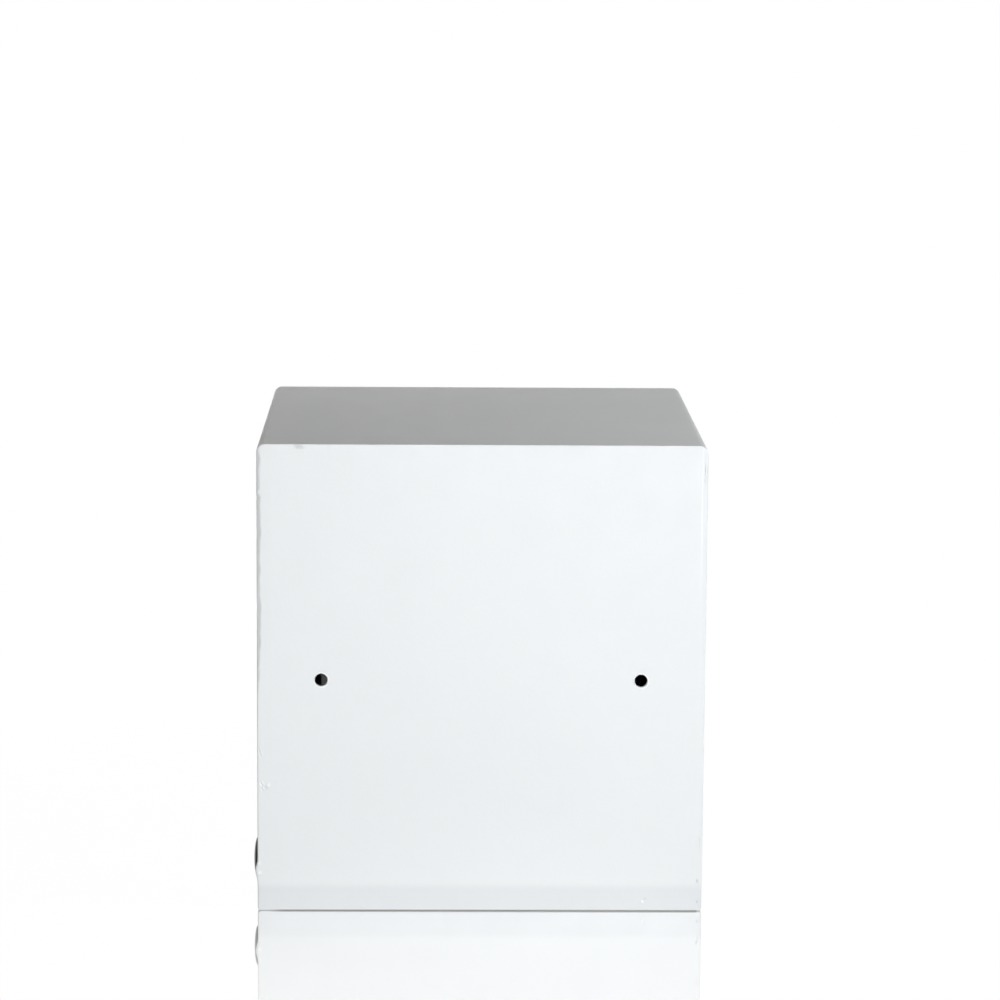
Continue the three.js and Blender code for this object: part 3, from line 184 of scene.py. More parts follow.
# finishes
def powderCoat(name, light, dark, roughness, grain=1.0, patches=None):
    # cured powder: fine orange peel, slow sheet waves under it, and a hardly visible drift of tone
    material, tree, shader = startMaterial(name, **{"Specular IOR Level": 0.4})
    place = objectCoordinates(tree)
    drift = noise(tree, place, 5, 2)
    speck = noise(tree, place, 1300, 1)
    tone = mixColours(tree, remap(tree, drift, 0.35, 0.65, 0, 1), light, dark)
    tone = mixColours(
        tree, remap(tree, speck, 0.76, 0.84, 0, 0.5), tone, tuple(0.8 * c for c in dark)
    )
    if patches:
        tone = patches(tree, tone)
    gloss = remap(tree, noise(tree, place, 60, 3), 0.3, 0.7, roughness - 0.04, roughness + 0.05)
    waves = bump(tree, noise(tree, place, 14, 1), 0.0012, 0.25)
    peel = bump(tree, noise(tree, place, 520, 2), 0.00012 * grain, 0.5, waves)
    connectFinish(tree, shader, tone, peel, gloss)
    return material


patchSettings = {
    # painted highlight: the lighter colour used below on the lip round each anchor hole, along the lock
    # side's weld seam and on weld drops
    "highlightPaint": (0.97, 0.985, 0.99),
    "rims": {"across": 0.125, "up": 0.186, "tall": 1, "inner": 0.0062, "outer": 0.0067},
    # painted shade: the strip along the foot is darker, up to where it is full, and where it ends
    "footShade": (0.0165, 0.0245),
    "footShadePaint": (0.83, 0.836, 0.84),
    # painted shadow: the dark line on which the safe stands: its height, its fading on the hinge side, its
    # end on the other
    "contactShadowHeight": (0.0003, 0.0013),
    "contactShadowFade": (0.155, 0.167),
    "contactShadowLeft": 0.15,
    "contactShadowEnd": (-0.1725, -0.1705),
    "contactShadowPaint": (0.38, 0.37, 0.36),
    # painted shade: a grey patch just below the head on the hinge side, where a dent faces down, with a
    # ragged rim
    "blotch": {"across": 0.1416, "up": 0.3701, "tall": 0.42, "inner": 0.003, "outer": 0.0086, "most": 0.75},
    "headShadeRagged": 0.005,
    "headShadePaint": (0.64, 0.63, 0.625),
    # painted highlight: a lighter line along the weld seam of the lock side
    "seam": {"across": -0.1708, "up": 0.318, "tall": 95, "inner": 0.0002, "outer": 0.0008},
    # painted highlights on single drops of weld: across, up, how tall for their width
    "drops": [(-0.1281, 0.0078, 1), (0.1666, 0.1016, 1.3), (0.1738, 0.0386, 1.4), (0.1736, 0.0306, 1.6)],
    "dropHighlightSize": (0.0006, 0.0012),
    # painted shade at single places in pits: across, up, how tall for their width
    "pitShade": [(-0.1304, 0.0102, 0.8), (-0.1716, 0.0079, 1.6), (-0.1713, 0.025, 2.5)],
    "pitShadeSize": (0.0002, 0.0009),
    "pitShadePaint": (0.6, 0.64, 0.68),
}


def nearPlace(tree, place, across, up, tall, inner, outer, most=1.0, ragged=0.0):
    # most within the inner distance from a place on the back, nought past the outer one
    flat = addNode(
        tree, "ShaderNodeMapping",
        {"Vector": place, "Scale": (1, 0, 1 / tall), "Location": (-across, 0, -up / tall)},
    ).outputs["Vector"]
    away = vectorStep(tree, "LENGTH", flat, output="Value")
    if ragged:
        wander = arithmetic(tree, "MULTIPLY", noise(tree, place, 420, 2), ragged)
        away = arithmetic(tree, "ADD", away, wander)
    return remap(tree, away, inner, outer, most, 0)


def backPatches(tree, tone):
    # painted highlights, painted shade and a painted contact shadow on the paint of the back, at single
    # places and along the foot
    settings = patchSettings
    place = addNode(tree, "ShaderNodeTexCoord").outputs["Object"]
    mirrored = vectorStep(tree, "ABSOLUTE", place)
    # painted highlight: the lip round each anchor hole is made lighter
    tone = mixColours(tree, nearPlace(tree, mirrored, **settings["rims"]), tone, settings["highlightPaint"])
    apart = addNode(tree, "ShaderNodeSeparateXYZ", {0: place}).outputs
    across, height = apart[0], apart[2]
    # painted shade: darker towards the foot
    full, end = settings["footShade"]
    footShade = addNode(
        tree, "ShaderNodeMapRange",
        {"Value": height, "From Min": full, "From Max": end, "To Min": 1, "To Max": 0},
        interpolation_type="SMOOTHSTEP",
    ).outputs["Result"]
    tone = mixColours(tree, footShade, tone, settings["footShadePaint"])
    # painted contact shadow along the foot, where the safe stands
    contactShadow = remap(tree, height, *settings["contactShadowHeight"], 1, 0)
    fade = remap(tree, across, *settings["contactShadowFade"], 1, settings["contactShadowLeft"])
    contactShadow = arithmetic(tree, "MULTIPLY", contactShadow, fade)
    contactShadow = arithmetic(tree, "MULTIPLY", contactShadow, remap(tree, across, *settings["contactShadowEnd"], 0, 1))
    tone = mixColours(tree, contactShadow, tone, settings["contactShadowPaint"])
    # painted shade just below the head on the hinge side
    blotch = nearPlace(tree, place, **settings["blotch"], ragged=settings["headShadeRagged"])
    tone = mixColours(tree, blotch, tone, settings["headShadePaint"])
    # painted highlight along the weld seam of the lock side
    tone = mixColours(tree, nearPlace(tree, place, **settings["seam"]), tone, settings["highlightPaint"])
    # painted highlights on the drops of weld
    for x, z, tall in settings["drops"]:
        drop = nearPlace(tree, place, x, z, tall, *settings["dropHighlightSize"])
        tone = mixColours(tree, drop, tone, settings["highlightPaint"])
    # painted shade in the pits
    for x, z, tall in settings["pitShade"]:
        spot = nearPlace(tree, place, x, z, tall, *settings["pitShadeSize"])
        tone = mixColours(tree, spot, tone, settings["pitShadePaint"])
    return tone


def zincPlated(name, along):
    # bright zinc: cloudy passivation tints and faint rolling lines
    material, tree, shader = startMaterial(name, Metallic=1.0)
    clouds = noise(tree, objectCoordinates(tree), 26, 4, 0.6)
    lines = noise(tree, objectCoordinates(tree, along), 1, 3, 0.7)
    tone = mixColours(tree, remap(tree, clouds, 0.3, 0.7, 0, 1), (0.5, 0.52, 0.56), (0.68, 0.67, 0.62))
    gloss = remap(tree, clouds, 0.25, 0.75, 0.26, 0.46)
    connectFinish(tree, shader, tone, bump(tree, lines, 0.00006, 0.35), gloss)
    return material


def turnedSteel(name, centre, axis, colour, roughness):
    # rings from the lathe: noise read along one number, the way out from the axis plus the way along it
    material, tree, shader = startMaterial(name, Metallic=1.0)
    flat = [0.0 if i == axis else 1.0 for i in range(3)]
    place = objectCoordinates(tree, flat, tuple(-c * f for c, f in zip(centre, flat)))
    out = vectorStep(tree, "LENGTH", place, output="Value")
    parts = addNode(
        tree, "ShaderNodeSeparateXYZ", {0: addNode(tree, "ShaderNodeTexCoord").outputs["Object"]}
    )
    ringPlace = arithmetic(tree, "ADD", out, parts.outputs[axis])
    rings = addNode(
        tree, "ShaderNodeTexNoise", {"W": ringPlace, "Scale": 4200, "Detail": 2}, noise_dimensions="1D"
    ).outputs["Fac"]
    blotch = noise(tree, objectCoordinates(tree), 90, 3)
    tone = mixColours(tree, remap(tree, blotch, 0.3, 0.7, 0, 1), colour, tuple(0.9 * c for c in colour))
    gloss = remap(tree, blotch, 0.25, 0.75, roughness - 0.04, roughness + 0.08)
    connectFinish(tree, shader, tone, bump(tree, rings, 0.00002, 0.35), gloss)
    return material


def satinMetal(name, colour, along):
    # brushed and plated metal: short fine lines along one way, and a slow drift of gloss
    material, tree, shader = startMaterial(name, Metallic=1.0)
    lines = noise(tree, objectCoordinates(tree, along), 1, 2, 0.5)
    drift = noise(tree, objectCoordinates(tree), 45, 2)
    tone = mixColours(tree, remap(tree, lines, 0.3, 0.7, 0, 1), colour, tuple(1.12 * c for c in colour))
    gloss = remap(tree, drift, 0.3, 0.7, 0.24, 0.34)
    connectFinish(tree, shader, tone, bump(tree, lines, 0.00001, 0.3), gloss)
    return material


def moulding(name, colour, roughness, grain=0.00006, grainScale=1800, specular=0.5):
    # moulded plastic with the fine grain of an eroded mould
    material, tree, shader = startMaterial(name, **{"Specular IOR Level": specular})
    place = objectCoordinates(tree)
    wear = noise(tree, place, 70, 3)
    tone = mixColours(tree, remap(tree, wear, 0.3, 0.7, 0, 1), colour, tuple(1.18 * c for c in colour))
    gloss = remap(tree, wear, 0.3, 0.7, roughness - 0.05, roughness + 0.05)
    connectFinish(tree, shader, tone, bump(tree, noise(tree, place, grainScale, 2), grain, 0.6), gloss)
    return material


def needleFelt(name):
    # matted fibres: two noises stretched across each other, with a little sheen
    material, tree, shader = startMaterial(
        name, **{"Sheen Weight": 0.35, "Sheen Roughness": 0.5, "Roughness": 0.95}
    )
    across = noise(tree, objectCoordinates(tree, (2600, 500, 900)), 1, 4, 0.7)
    along = noise(tree, objectCoordinates(tree, (500, 2400, 900)), 1, 4, 0.7)
    fibres = arithmetic(tree, "MAXIMUM", across, along)
    tone = mixColours(tree, remap(tree, fibres, 0.4, 0.75, 0, 1), (0.035, 0.036, 0.04), (0.13, 0.132, 0.14))
    connectFinish(tree, shader, tone, bump(tree, fibres, 0.0006, 0.8))
    return material


# light tone, dark tone, roughness and, for the black, its coarser grain
whitePaint = ((0.9, 0.905, 0.905), (0.885, 0.89, 0.89), 0.46)
blackPaint = ((0.022, 0.023, 0.025), (0.03, 0.031, 0.033), 0.5, 1.6)
brassTone = (0.62, 0.45, 0.2)
steelTone = (0.46, 0.46, 0.47)
paintFinish = powderCoat("white_powder_coat", *whitePaint)
backFinish = powderCoat("back_powder_coat", *whitePaint, patches=backPatches)
coverFinish = powderCoat("black_powder_coat", *blackPaint)
zincSheet = zincPlated("zinc_sheet", (40, 900, 40))
zincBlock = zincPlated("zinc_block", (300, 300, 300))
blackMoulding = moulding("black_moulding", (0.018, 0.019, 0.021), 0.42)
keyMoulding = moulding("key_moulding", (0.62, 0.63, 0.64), 0.38, 0.00002)
plugMoulding = moulding("plug_moulding", (0.005, 0.0045, 0.004), 0.36, 0.00001, 300, 0.15)
redMoulding = moulding("red_moulding", (0.5, 0.02, 0.014), 0.22, 0.00001, 400)
inkFinish = moulding("black_ink", (0.012, 0.012, 0.013), 0.5, 0.00001)
boardFinish = moulding("solder_mask", (0.02, 0.12, 0.06), 0.3, 0.00003, 500)
batteryFinish = moulding("battery_sleeve", (0.03, 0.031, 0.035), 0.3, 0.00001)
leadFinish = moulding("lead_sleeve", (0.02, 0.02, 0.02), 0.4, 0.00001)
feltFinish = needleFelt("grey_felt")
chromeFinish = turnedSteel("chromed_steel", (0, 0, 0), 2, (0.6, 0.61, 0.62), 0.14)
nickelFinish = satinMetal("satin_nickel", (0.42, 0.42, 0.43), (40, 1800, 1800))
screwFinish = satinMetal("blackened_screw", (0.06, 0.06, 0.065), (900, 900, 900))
brassFinish = turnedSteel("brass_metal", (0, 0, 0), 0, brassTone, 0.26)
print("finishes made")


# mesh helpers
samePlace = 2e-7  # points closer than this are one
flatAngle = math.radians(0.6)  # packed faces that meet at less than this are one face
sharpAngle = 35  # degrees: corners past it stay sharp, unless a piece has its own angle
rimSteps = 4  # lengths in the quarter circle of a sheet's rim


def link(name, mesh, material, body, stands):
    # the piece rides on a body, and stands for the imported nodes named
    piece = bpy.data.objects.new(name, mesh)
    scene.collection.objects.link(piece)
    mesh.materials.clear()
    mesh.materials.append(material)
    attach(piece, body)
    if stands:
        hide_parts(*stands)
    return piece


@contextmanager
def opened(mesh):
    work = bmesh.new()
    work.from_mesh(mesh)
    yield work
    work.to_mesh(mesh)
    work.free()


def shadeSmooth(mesh, sharp):
    # only corners past the angle stay sharp
    mesh.shade_smooth()
    mesh.set_sharp_from_angle(angle=math.radians(sharp))


def newMesh(name, points, faces):
    mesh = bpy.data.meshes.new(name)
    mesh.from_pydata(points.tolist(), [], faces)
    return mesh


def cleanMesh(name, points, faces, sharp):
    # doubles are merged, then faces are turned outwards
    mesh = newMesh(name, points, faces)
    with opened(mesh) as work:
        bmesh.ops.remove_doubles(work, verts=work.verts, dist=samePlace)
        bmesh.ops.recalc_face_normals(work, faces=work.faces)
    shadeSmooth(mesh, sharp)
    return mesh


def meshPoints(mesh):
    points = np.zeros(3 * len(mesh.vertices))
    mesh.vertices.foreach_get("co", points)
    return points.reshape(-1, 3)


def movePoints(mesh, points):
    mesh.vertices.foreach_set("co", points.ravel())
    mesh.update()


def evaluatedMesh(piece):
    # the piece's shape as a plain mesh, with its modifiers or its text made real
    bpy.context.view_layer.update()
    return bpy.data.meshes.new_from_object(piece.evaluated_get(bpy.context.evaluated_depsgraph_get()))


def gridFaces(rows, columns, closeRows=False, caps=False):
    # quads between neighbouring rows and round the columns, worked out as whole arrays of indices
    row = np.arange(rows if closeRows else rows - 1)[:, None]
    column = np.arange(columns)[None, :]
    start, startAfter = row * columns, (row + 1) % rows * columns
    after = (column + 1) % columns
    quads = np.stack([start + column, start + after, startAfter + after, startAfter + column], -1)
    faces = quads.reshape(-1, 4).tolist()
    if caps:
        ring = np.arange(columns)
        faces += [ring[::-1].tolist(), (ring + (rows - 1) * columns).tolist()]
    return faces


def surfaceMesh(name, points, closeRows=False, caps=False, sharp=sharpAngle):
    faces = gridFaces(*points.shape[:2], closeRows, caps)
    return cleanMesh(name, points.reshape(-1, 3), faces, sharp)


def surfacePart(points):
    return points.reshape(-1, 3), gridFaces(*points.shape[:2])


def flatPart(rims):
    # one flat field between an outer ring and the rings of its holes, seen along Y; points that lie twice in
    # a ring are dropped
    rims = [rim[np.linalg.norm(np.roll(rim, -1, 0) - rim, axis=1) > samePlace / 2] for rim in rims]
    flat = [[Vector((x, z, 0)) for x, _, z in rim.tolist()] for rim in rims]
    return np.vstack(rims), np.asarray(tessellate_polygon(flat)).tolist()


def joinedMesh(name, parts):
    starts = np.cumsum([0] + [len(points) for points, _ in parts])
    faces = [[start + k for k in face] for start, (_, each) in zip(starts, parts) for face in each]
    return cleanMesh(name, np.vstack([points for points, _ in parts]), faces, sharpAngle)


def rounded(points, radius, closed=False, steps=4):
    # each corner is replaced by a curve that leaves one side and joins the next, at most 45% along either
    points = np.asarray(points, float)
    before, after = np.roll(points, 1, 0) - points, np.roll(points, -1, 0) - points
    lengthBefore, lengthAfter = np.linalg.norm(before, axis=1), np.linalg.norm(after, axis=1)
    reach = np.minimum(np.broadcast_to(radius, len(points)), 0.45 * np.minimum(lengthBefore, lengthAfter))
    start = points + before / np.maximum(lengthBefore, 1e-12)[:, None] * reach[:, None]
    end = points + after / np.maximum(lengthAfter, 1e-12)[:, None] * reach[:, None]
    t = np.linspace(0, 1, steps + 1)[None, :, None]
    curve = (1 - t) ** 2 * start[:, None] + 2 * t * (1 - t) * points[:, None] + t**2 * end[:, None]
    if closed:
        return curve.reshape(-1, points.shape[1])
    return np.vstack([points[:1], curve[1:-1].reshape(-1, points.shape[1]), points[-1:]])


def circleAxes(axis):
    # two unit vectors square to the axis, so that first x second runs along it
    along = np.eye(3)[axis]
    return np.eye(3)[(axis + 1) % 3], np.eye(3)[(axis + 2) % 3], along


def turnedPoints(profile, centre, axis, steps, radiusOf=None):
    # point = centre + along * axis + radius * (cos of the turn * first + sin of the turn * second)
    first, second, along = circleAxes(axis)
    profile = np.asarray(profile, float)
    turn = np.linspace(0, 2 * np.pi, steps, endpoint=False)[None, :]
    radius = np.repeat(profile[:, :1], steps, 1) if radiusOf is None else radiusOf(profile, turn)
    return (
        np.asarray(centre)
        + profile[:, 1][:, None, None] * along
        + (radius * np.cos(turn))[..., None] * first
        + (radius * np.sin(turn))[..., None] * second
    )


def turnedPiece(
    name, profile, centre, axis, material, body, stands, steps, soft=0.0004, closed=False
):
    # a profile of (radius, way along) turned round an axis through the centre, with its corners softened
    shape = rounded(profile, soft, closed)
    mesh = surfaceMesh(name, turnedPoints(shape, centre, axis, steps), closeRows=closed, sharp=28)
    return link(name, mesh, material, body, stands)


def arcPoints(centre, radius, start, end, steps):
    turn = np.linspace(start, end, steps + 1)
    return np.stack([centre[0] + radius * np.cos(turn), centre[1] + radius * np.sin(turn)], -1)


def roundedRectangle(low, high, radius, steps=10):
    # counter-clockwise from the corner at high x and low y, each corner a quarter circle of its own radius
    quarter = np.pi / 2
    (x0, y0), (x1, y1) = low, high
    first, second, third, fourth = np.broadcast_to(radius, 4)
    return np.vstack([
        arcPoints((x1 - first, y0 + first), first, -quarter, 0, steps),
        arcPoints((x1 - second, y1 - second), second, 0, quarter, steps),
        arcPoints((x0 + third, y1 - third), third, quarter, 2 * quarter, steps),
        arcPoints((x0 + fourth, y0 + fourth), fourth, 2 * quarter, 3 * quarter, steps),
    ])


def circleLoop(centre, radius, steps=64):
    return arcPoints(centre, radius, 0, 2 * np.pi, steps)[:-1]


def inwardNormals(loop):
    # the left-hand normal of a loop, which points into the sheet for outlines and for reversed holes
    along = np.roll(loop, -1, 0) - np.roll(loop, 1, 0)
    along /= np.linalg.norm(along, axis=1)[:, None]
    return np.stack([-along[:, 1], along[:, 0]], -1)


def sheetMesh(name, outline, holes, near, far, edge, axis):
    # loops in the plane square to the axis; each rim is a quarter circle from the near face to the wall and
    # back, with one more ring just inside it, so that the flat faces keep flat normals
    loops = [np.asarray(outline, float)] + [np.asarray(hole, float)[::-1] for hole in holes]
    turn = np.linspace(0, np.pi / 2, rimSteps + 1)
    quarter, flat = edge * (1 - np.sin(turn)), [1.25 * edge]
    inset = np.concatenate([flat, quarter, quarter[::-1], flat])
    rise = edge * (1 - np.cos(turn))
    place = np.concatenate([[near], near + rise, far - rise[::-1], [far]])
    points, faces, start = [], [], 0
    nearRim, farRim = [], []
    for loop in loops:  # one outline and a few holes
        ring = loop[None] + inset[:, None, None] * inwardNormals(loop)[None]
        rows, columns = ring.shape[:2]
        first, second, along = circleAxes(axis)
        solid = ring[..., :1] * first + ring[..., 1:] * second + place[:, None, None] * along
        points.append(solid.reshape(-1, 3))
        faces += [[start + k for k in face] for face in gridFaces(rows, columns)]
        nearRim.append((ring[0], start))
        farRim.append((ring[-1], start + (rows - 1) * columns))
        start += rows * columns
    for rims in (nearRim, farRim):
        index = np.concatenate([np.arange(len(ring)) + offset for ring, offset in rims])
        triangles = tessellate_polygon([[Vector((*point, 0)) for point in ring.tolist()] for ring, _ in rims])
        faces += index[np.asarray(triangles)].tolist()
    return cleanMesh(name, np.vstack(points), faces, 25)


def softenedPiece(name, node, width, material, segments, angle=32):
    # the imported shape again, merged, with its flat faces whole and its corners rounded
    mesh = nodes[node].data.copy()
    with opened(mesh) as work:
        bmesh.ops.remove_doubles(work, verts=work.verts, dist=10 * samePlace)
        bmesh.ops.dissolve_limit(
            work, angle_limit=flatAngle, use_dissolve_boundaries=False, verts=work.verts, edges=work.edges
        )
    piece = link(name, mesh, material, nodes[node]["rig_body"], (node,))
    bevel = piece.modifiers.new("softCorners", "BEVEL")
    bevel.width, bevel.segments, bevel.limit_method = width, segments, "ANGLE"
    bevel.angle_limit = math.radians(angle)
    bevel.use_clamp_overlap = True
    bevel.harden_normals = True
    mesh.shade_smooth()
    return piece


def barAlong(name, section, path, planeNormal, material, body, stands):
    # a section carried along a flat path: out from the path in its plane, and along the plane's normal
    tangent = np.gradient(path, axis=0)
    tangent /= np.linalg.norm(tangent, axis=1)[:, None]
    normal = np.asarray(planeNormal, float)
    side = np.cross(normal, tangent)
    points = path[:, None] + section[None, :, :1] * side[:, None] + section[None, :, 1:] * normal
    mesh = surfaceMesh(name, points, caps=True)
    return link(name, mesh, material, body, stands)


def nodeBox(node):
    return [np.array(corner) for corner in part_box(node)]


def middle(node):
    low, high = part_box(node)
    return np.array((low + high) / 2)


# cabinet
wrapSettings = {
    "halfWidth": 0.175,
    "height": 0.372,
    "front": -0.1705,
    "back": 0.16718,
    "wall": 0.003,
    "bend": 0.0065,
    "footBend": 0.0026,
    "frontEdge": 0.0011,
    "rearEdge": 0.00002,
    "cableHole": (0.1405, 0.036, 0.0135),
    "cutReach": 0.01,
    "spacing": 0.006,
}


def evenLoop(outline, spacing):
    # the outline's own points, with more put in wherever two lie further apart than the spacing
    closed = np.vstack([outline, outline[:1]])
    way = np.concatenate([[0], np.cumsum(np.linalg.norm(np.diff(closed, axis=0), axis=1))])
    even = np.unique(np.round(np.concatenate([way[:-1], np.arange(0, way[-1], spacing)]), 7))
    ring = np.stack([np.interp(even, way, closed[:, k]) for k in (0, 1)], -1)
    return ring[np.linalg.norm(np.roll(ring, -1, 0) - ring, axis=1) > 1e-5]


def cabinetOutline(settings, spacing):
    # the upper corners are bent round, the lower ones folded tight
    low, high = (-settings["halfWidth"], 0), (settings["halfWidth"], settings["height"])
    bend, footBend = settings["bend"], settings["footBend"]
    return evenLoop(roundedRectangle(low, high, (footBend, bend, bend, footBend), 16), spacing)


def insetOutline(settings, ring, inset):
    # the ring drawn in by each inset, along the way to the centre of its bend; past a tight bend's own radius
    # the points of that corner meet at its mitre
    half, height = settings["halfWidth"], settings["height"]
    bend = np.where(ring[:, 1:] < height / 2, settings["footBend"], settings["bend"])
    nearest = np.clip(ring, np.hstack([bend - half, bend]), np.hstack([half - bend, height - bend]))
    inset = inset[:, None, None]
    drawn = ring + inset * (nearest - ring) / bend
    lowest = np.concatenate([inset - half, inset], -1)
    highest = np.concatenate([half - inset, height - inset], -1)
    return np.clip(drawn, lowest, highest)


def inwardFrom(settings, plan, core):
    # the direction from a place near the edge towards the rectangle that lies the core's width inside it
    half = settings["halfWidth"]
    way = np.clip(plan, (core - half, core), (half - core, settings["height"] - core)) - plan
    return way / np.linalg.norm(way, axis=-1, keepdims=True)


def wrapPoints(settings):
    # the sheet's edge section, a thin rounded rectangle of wall by depth, carried round the bent outline
    ring = cabinetOutline(settings, settings["spacing"])
    front, back, wall = settings["front"], settings["back"], settings["wall"]
    frontEdge, rearEdge = settings["frontEdge"], settings["rearEdge"]
    soft = np.array([frontEdge, rearEdge, rearEdge, frontEdge])
    section = rounded([(0, front), (0, back), (wall, back), (wall, front)], soft, closed=True, steps=5)
    place = insetOutline(settings, ring, section[:, 0]).transpose(1, 0, 2)
    depth = np.broadcast_to(section[None, :, 1], place.shape[:2])
    return np.stack([place[..., 0], depth, place[..., 1]], -1)


def cutRound(piece, centre, radius, halfLength, axis, steps):
    # a round hole through a wall, cut and kept
    profile = [(0, -halfLength), (radius, -halfLength), (radius, halfLength), (0, halfLength)]
    tool = bpy.data.objects.new("tool", surfaceMesh("tool", turnedPoints(profile, centre, axis, steps)))
    scene.collection.objects.link(tool)
    modifier = piece.modifiers.new("hole", "BOOLEAN")
    modifier.object, modifier.operation, modifier.solver = tool, "DIFFERENCE", "EXACT"
    cutMesh = evaluatedMesh(piece)
    piece.modifiers.remove(modifier)
    piece.data = cutMesh
    bpy.data.objects.remove(tool)
    shadeSmooth(cutMesh, sharpAngle)


wrap = link(
    "wrap_sheet", surfaceMesh("wrap_sheet", wrapPoints(wrapSettings), closeRows=True),
    paintFinish, "cabinet", ("body_wrap",),
)
holeY, holeZ, holeRadius = wrapSettings["cableHole"]
cutRound(wrap, (wrapSettings["halfWidth"], holeY, holeZ), holeRadius, wrapSettings["cutReach"], 0, 96)

backSettings = {
    "near": 0.1672,
    "face": 0.1700,
    # the worked edge: how far in it reaches, the band in which it dies out, how many rings it has and how
    # they crowd towards the outline, and the spacing of the points along it
    "reach": 0.0105,
    "settle": 0.001,
    "rows": 46,
    "crowding": 1.25,
    "spacing": 0.0008,
    # three sines of the height that make the grinding waver: share, length, start
    "waves": [(0.6, 0.0121, 1), (0.5, 0.0047, 0), (0.3, 0.0023, 2)],
    # how far in the grinder went: low on the hinge side, the more of it above mid height, and the other
    # sides; then how far it wavers there
    "ground": {"hinge": 0.0006, "hingeUpper": 0.0022, "lock": 0.0011, "head": 0.0002, "foot": 0.0003},
    "waver": {"hingeUpper": 0.0006, "lock": 0.0002},
    # where the upper part starts and how softly, how steep the ground edge is, and the rounding of its start
    "upperFrom": (0.186, 0.006),
    "steep": {"hinge": 0.78, "others": 0.25},
    "knee": 0.00045,
    # how far the edge is rolled round: all of it, more along the foot and the hinge side, and where the
    # foot's roll tightens towards its corner, as (share, across, width)
    "roll": 0.0004,
    "footRoll": 0.0011,
    "hingeRoll": 0.0004,
    "footTight": (0.6, 0.172, 0.014),
    "footFlat": 0.35,
    # the weld line: its way in from the outline, its depth, and the places of its lips
    "seam": 0.0029,
    "seamDeep": {"lock": 0.00003, "waver": 0.00002, "foot": 0.00004},
    "seamFootEnds": (0.04, 0.08),
    "seamWidth": 0.00042,
    "lips": [(0.0012, 0.0006, 0.15), (-0.0012, 0.0005, 0.35)],
    # places along the seam on the lock side: height above the foot, half length, depth
    "pits": [(0.352, 0.005, 0.0009), (0.3435, 0.002, 0.0005), (0.057, 0.003, 0.0007),
             (0.0225, 0.003, 0.0007), (0.0075, 0.0016, 0.0009), (0.262, 0.005, 0.00012),
             (0.205, 0.004, 0.00012)],
    "pitRough": (0.7, 0.3, 0.0007),
    # places where weld fills the ground edge on the hinge side: across, up, radius
    "fills": [(0.1726, 0.3345, 0.0026)],
    # drops of weld left standing: across, up, radius, height
    "drops": [(0.1738, 0.0386, 0.0013, 0.0004), (0.1736, 0.0306, 0.0017, 0.0005),
              (0.1666, 0.1016, 0.0016, 0.0005), (-0.1281, 0.0078, 0.0011, 0.0005),
              (-0.158, 0.2435, 0.0009, 0.00025), (0.0452, 0.0016, 0.001, 0.0002),
              (-0.1722, 0.0066, 0.0008, 0.0003), (-0.0275, 0.0034, 0.0007, 0.00015),
              (0.1412, 0.3712, 0.0030, 0.0002), (0.118, 0.3694, 0.002, 0.00018),
              (0.0925, 0.003, 0.0008, 0.0002)],
    # short scratches: start across and up, end across and up, depth
    "scratches": [(0.1729, 0.1036, 0.1706, 0.1006, 0.0009), (0.1706, 0.1006, 0.1674, 0.0988, 0.0008),
                  (0.1722, 0.1002, 0.1709, 0.0972, 0.0008), (0.1743, 0.1315, 0.1720, 0.1243, 0.0005),
                  (0.1530, 0.3637, 0.1375, 0.3655, 0.00006)],
    # a scratch's half width, the place and half width of its burr, the burr's share, the length of its ends
    "scratch": {"half": 0.0006, "burr": (0.0011, 0.0007), "burrShare": 0.5, "ends": 0.001},
    # overrun of the weld on the hinge side: how far out, height of its middle, half length, fading inwards
    "swell": (0.0018, 0.0325, 0.0055, 0.0015),
    "wallRows": 5,
    # anchor holes: places across and up, radius, and the lip of paint round the bore
    "anchors": [(-0.125, 0.186), (0.125, 0.186)],
    "anchorRadius": 0.005,
    "lip": {"rings": 9, "width": 0.0011, "high": 0.0002, "drop": 0.00045},
    # the lowest strip leans in: height of its start, how soft that is, depth at the foot
    "leanHeight": 0.0205,
    "leanSoft": 0.004,
    "leanDepth": 0.0011,
    # level cuts that give the flat field points in the strip: lowest, highest, number; where the lean ends
    "cuts": (0.0115, 0.034, 12),
    "leanEnd": 0.05,
    # faces smaller or lower than this are shaded smooth
    "smallFace": 2e-5,
    "smoothBelow": 0.04,
}


def bell(value, middle, width):
    return np.exp(-(((value - middle) / width) ** 2))


def softPositive(value, knee):
    # nought where the value is below nought and the value itself above, with a rounded knee between
    return 0.5 * (value + np.sqrt(value**2 + knee**2))


def lean(settings, up):
    # the lowest strip draws in towards the foot, with a soft start
    start = softPositive(settings["leanHeight"] - up, settings["leanSoft"])
    return settings["leanDepth"] * start / settings["leanHeight"]


def edgeSides(facing):
    # from the inward direction, how far a place belongs to the hinge side, lock side, head and foot
    across, up = facing[..., 0], facing[..., 1]
    return [np.clip(way, 0, 1) ** 2 for way in (-across, across, -up, up)]


def groundDepth(settings, up, inset, sides, waves):
    # depth = steepness x (way in that was ground - inset), and nought past that way
    hingeSide, lockSide, head, foot = sides
    ground, waver, steep = settings["ground"], settings["waver"], settings["steep"]
    middleUp, soft = settings["upperFrom"]
    upper = 1 / (1 + np.exp((middleUp - up) / soft))
    reach = hingeSide * (ground["hinge"] + upper * (ground["hingeUpper"] + waver["hingeUpper"] * waves))
    reach = reach + lockSide * (ground["lock"] + waver["lock"] * waves)
    reach = reach + ground["head"] * head + ground["foot"] * foot
    steepness = steep["hinge"] * hingeSide + steep["others"] * (lockSide + head + foot)
    return steepness * softPositive(reach - inset, settings["knee"])


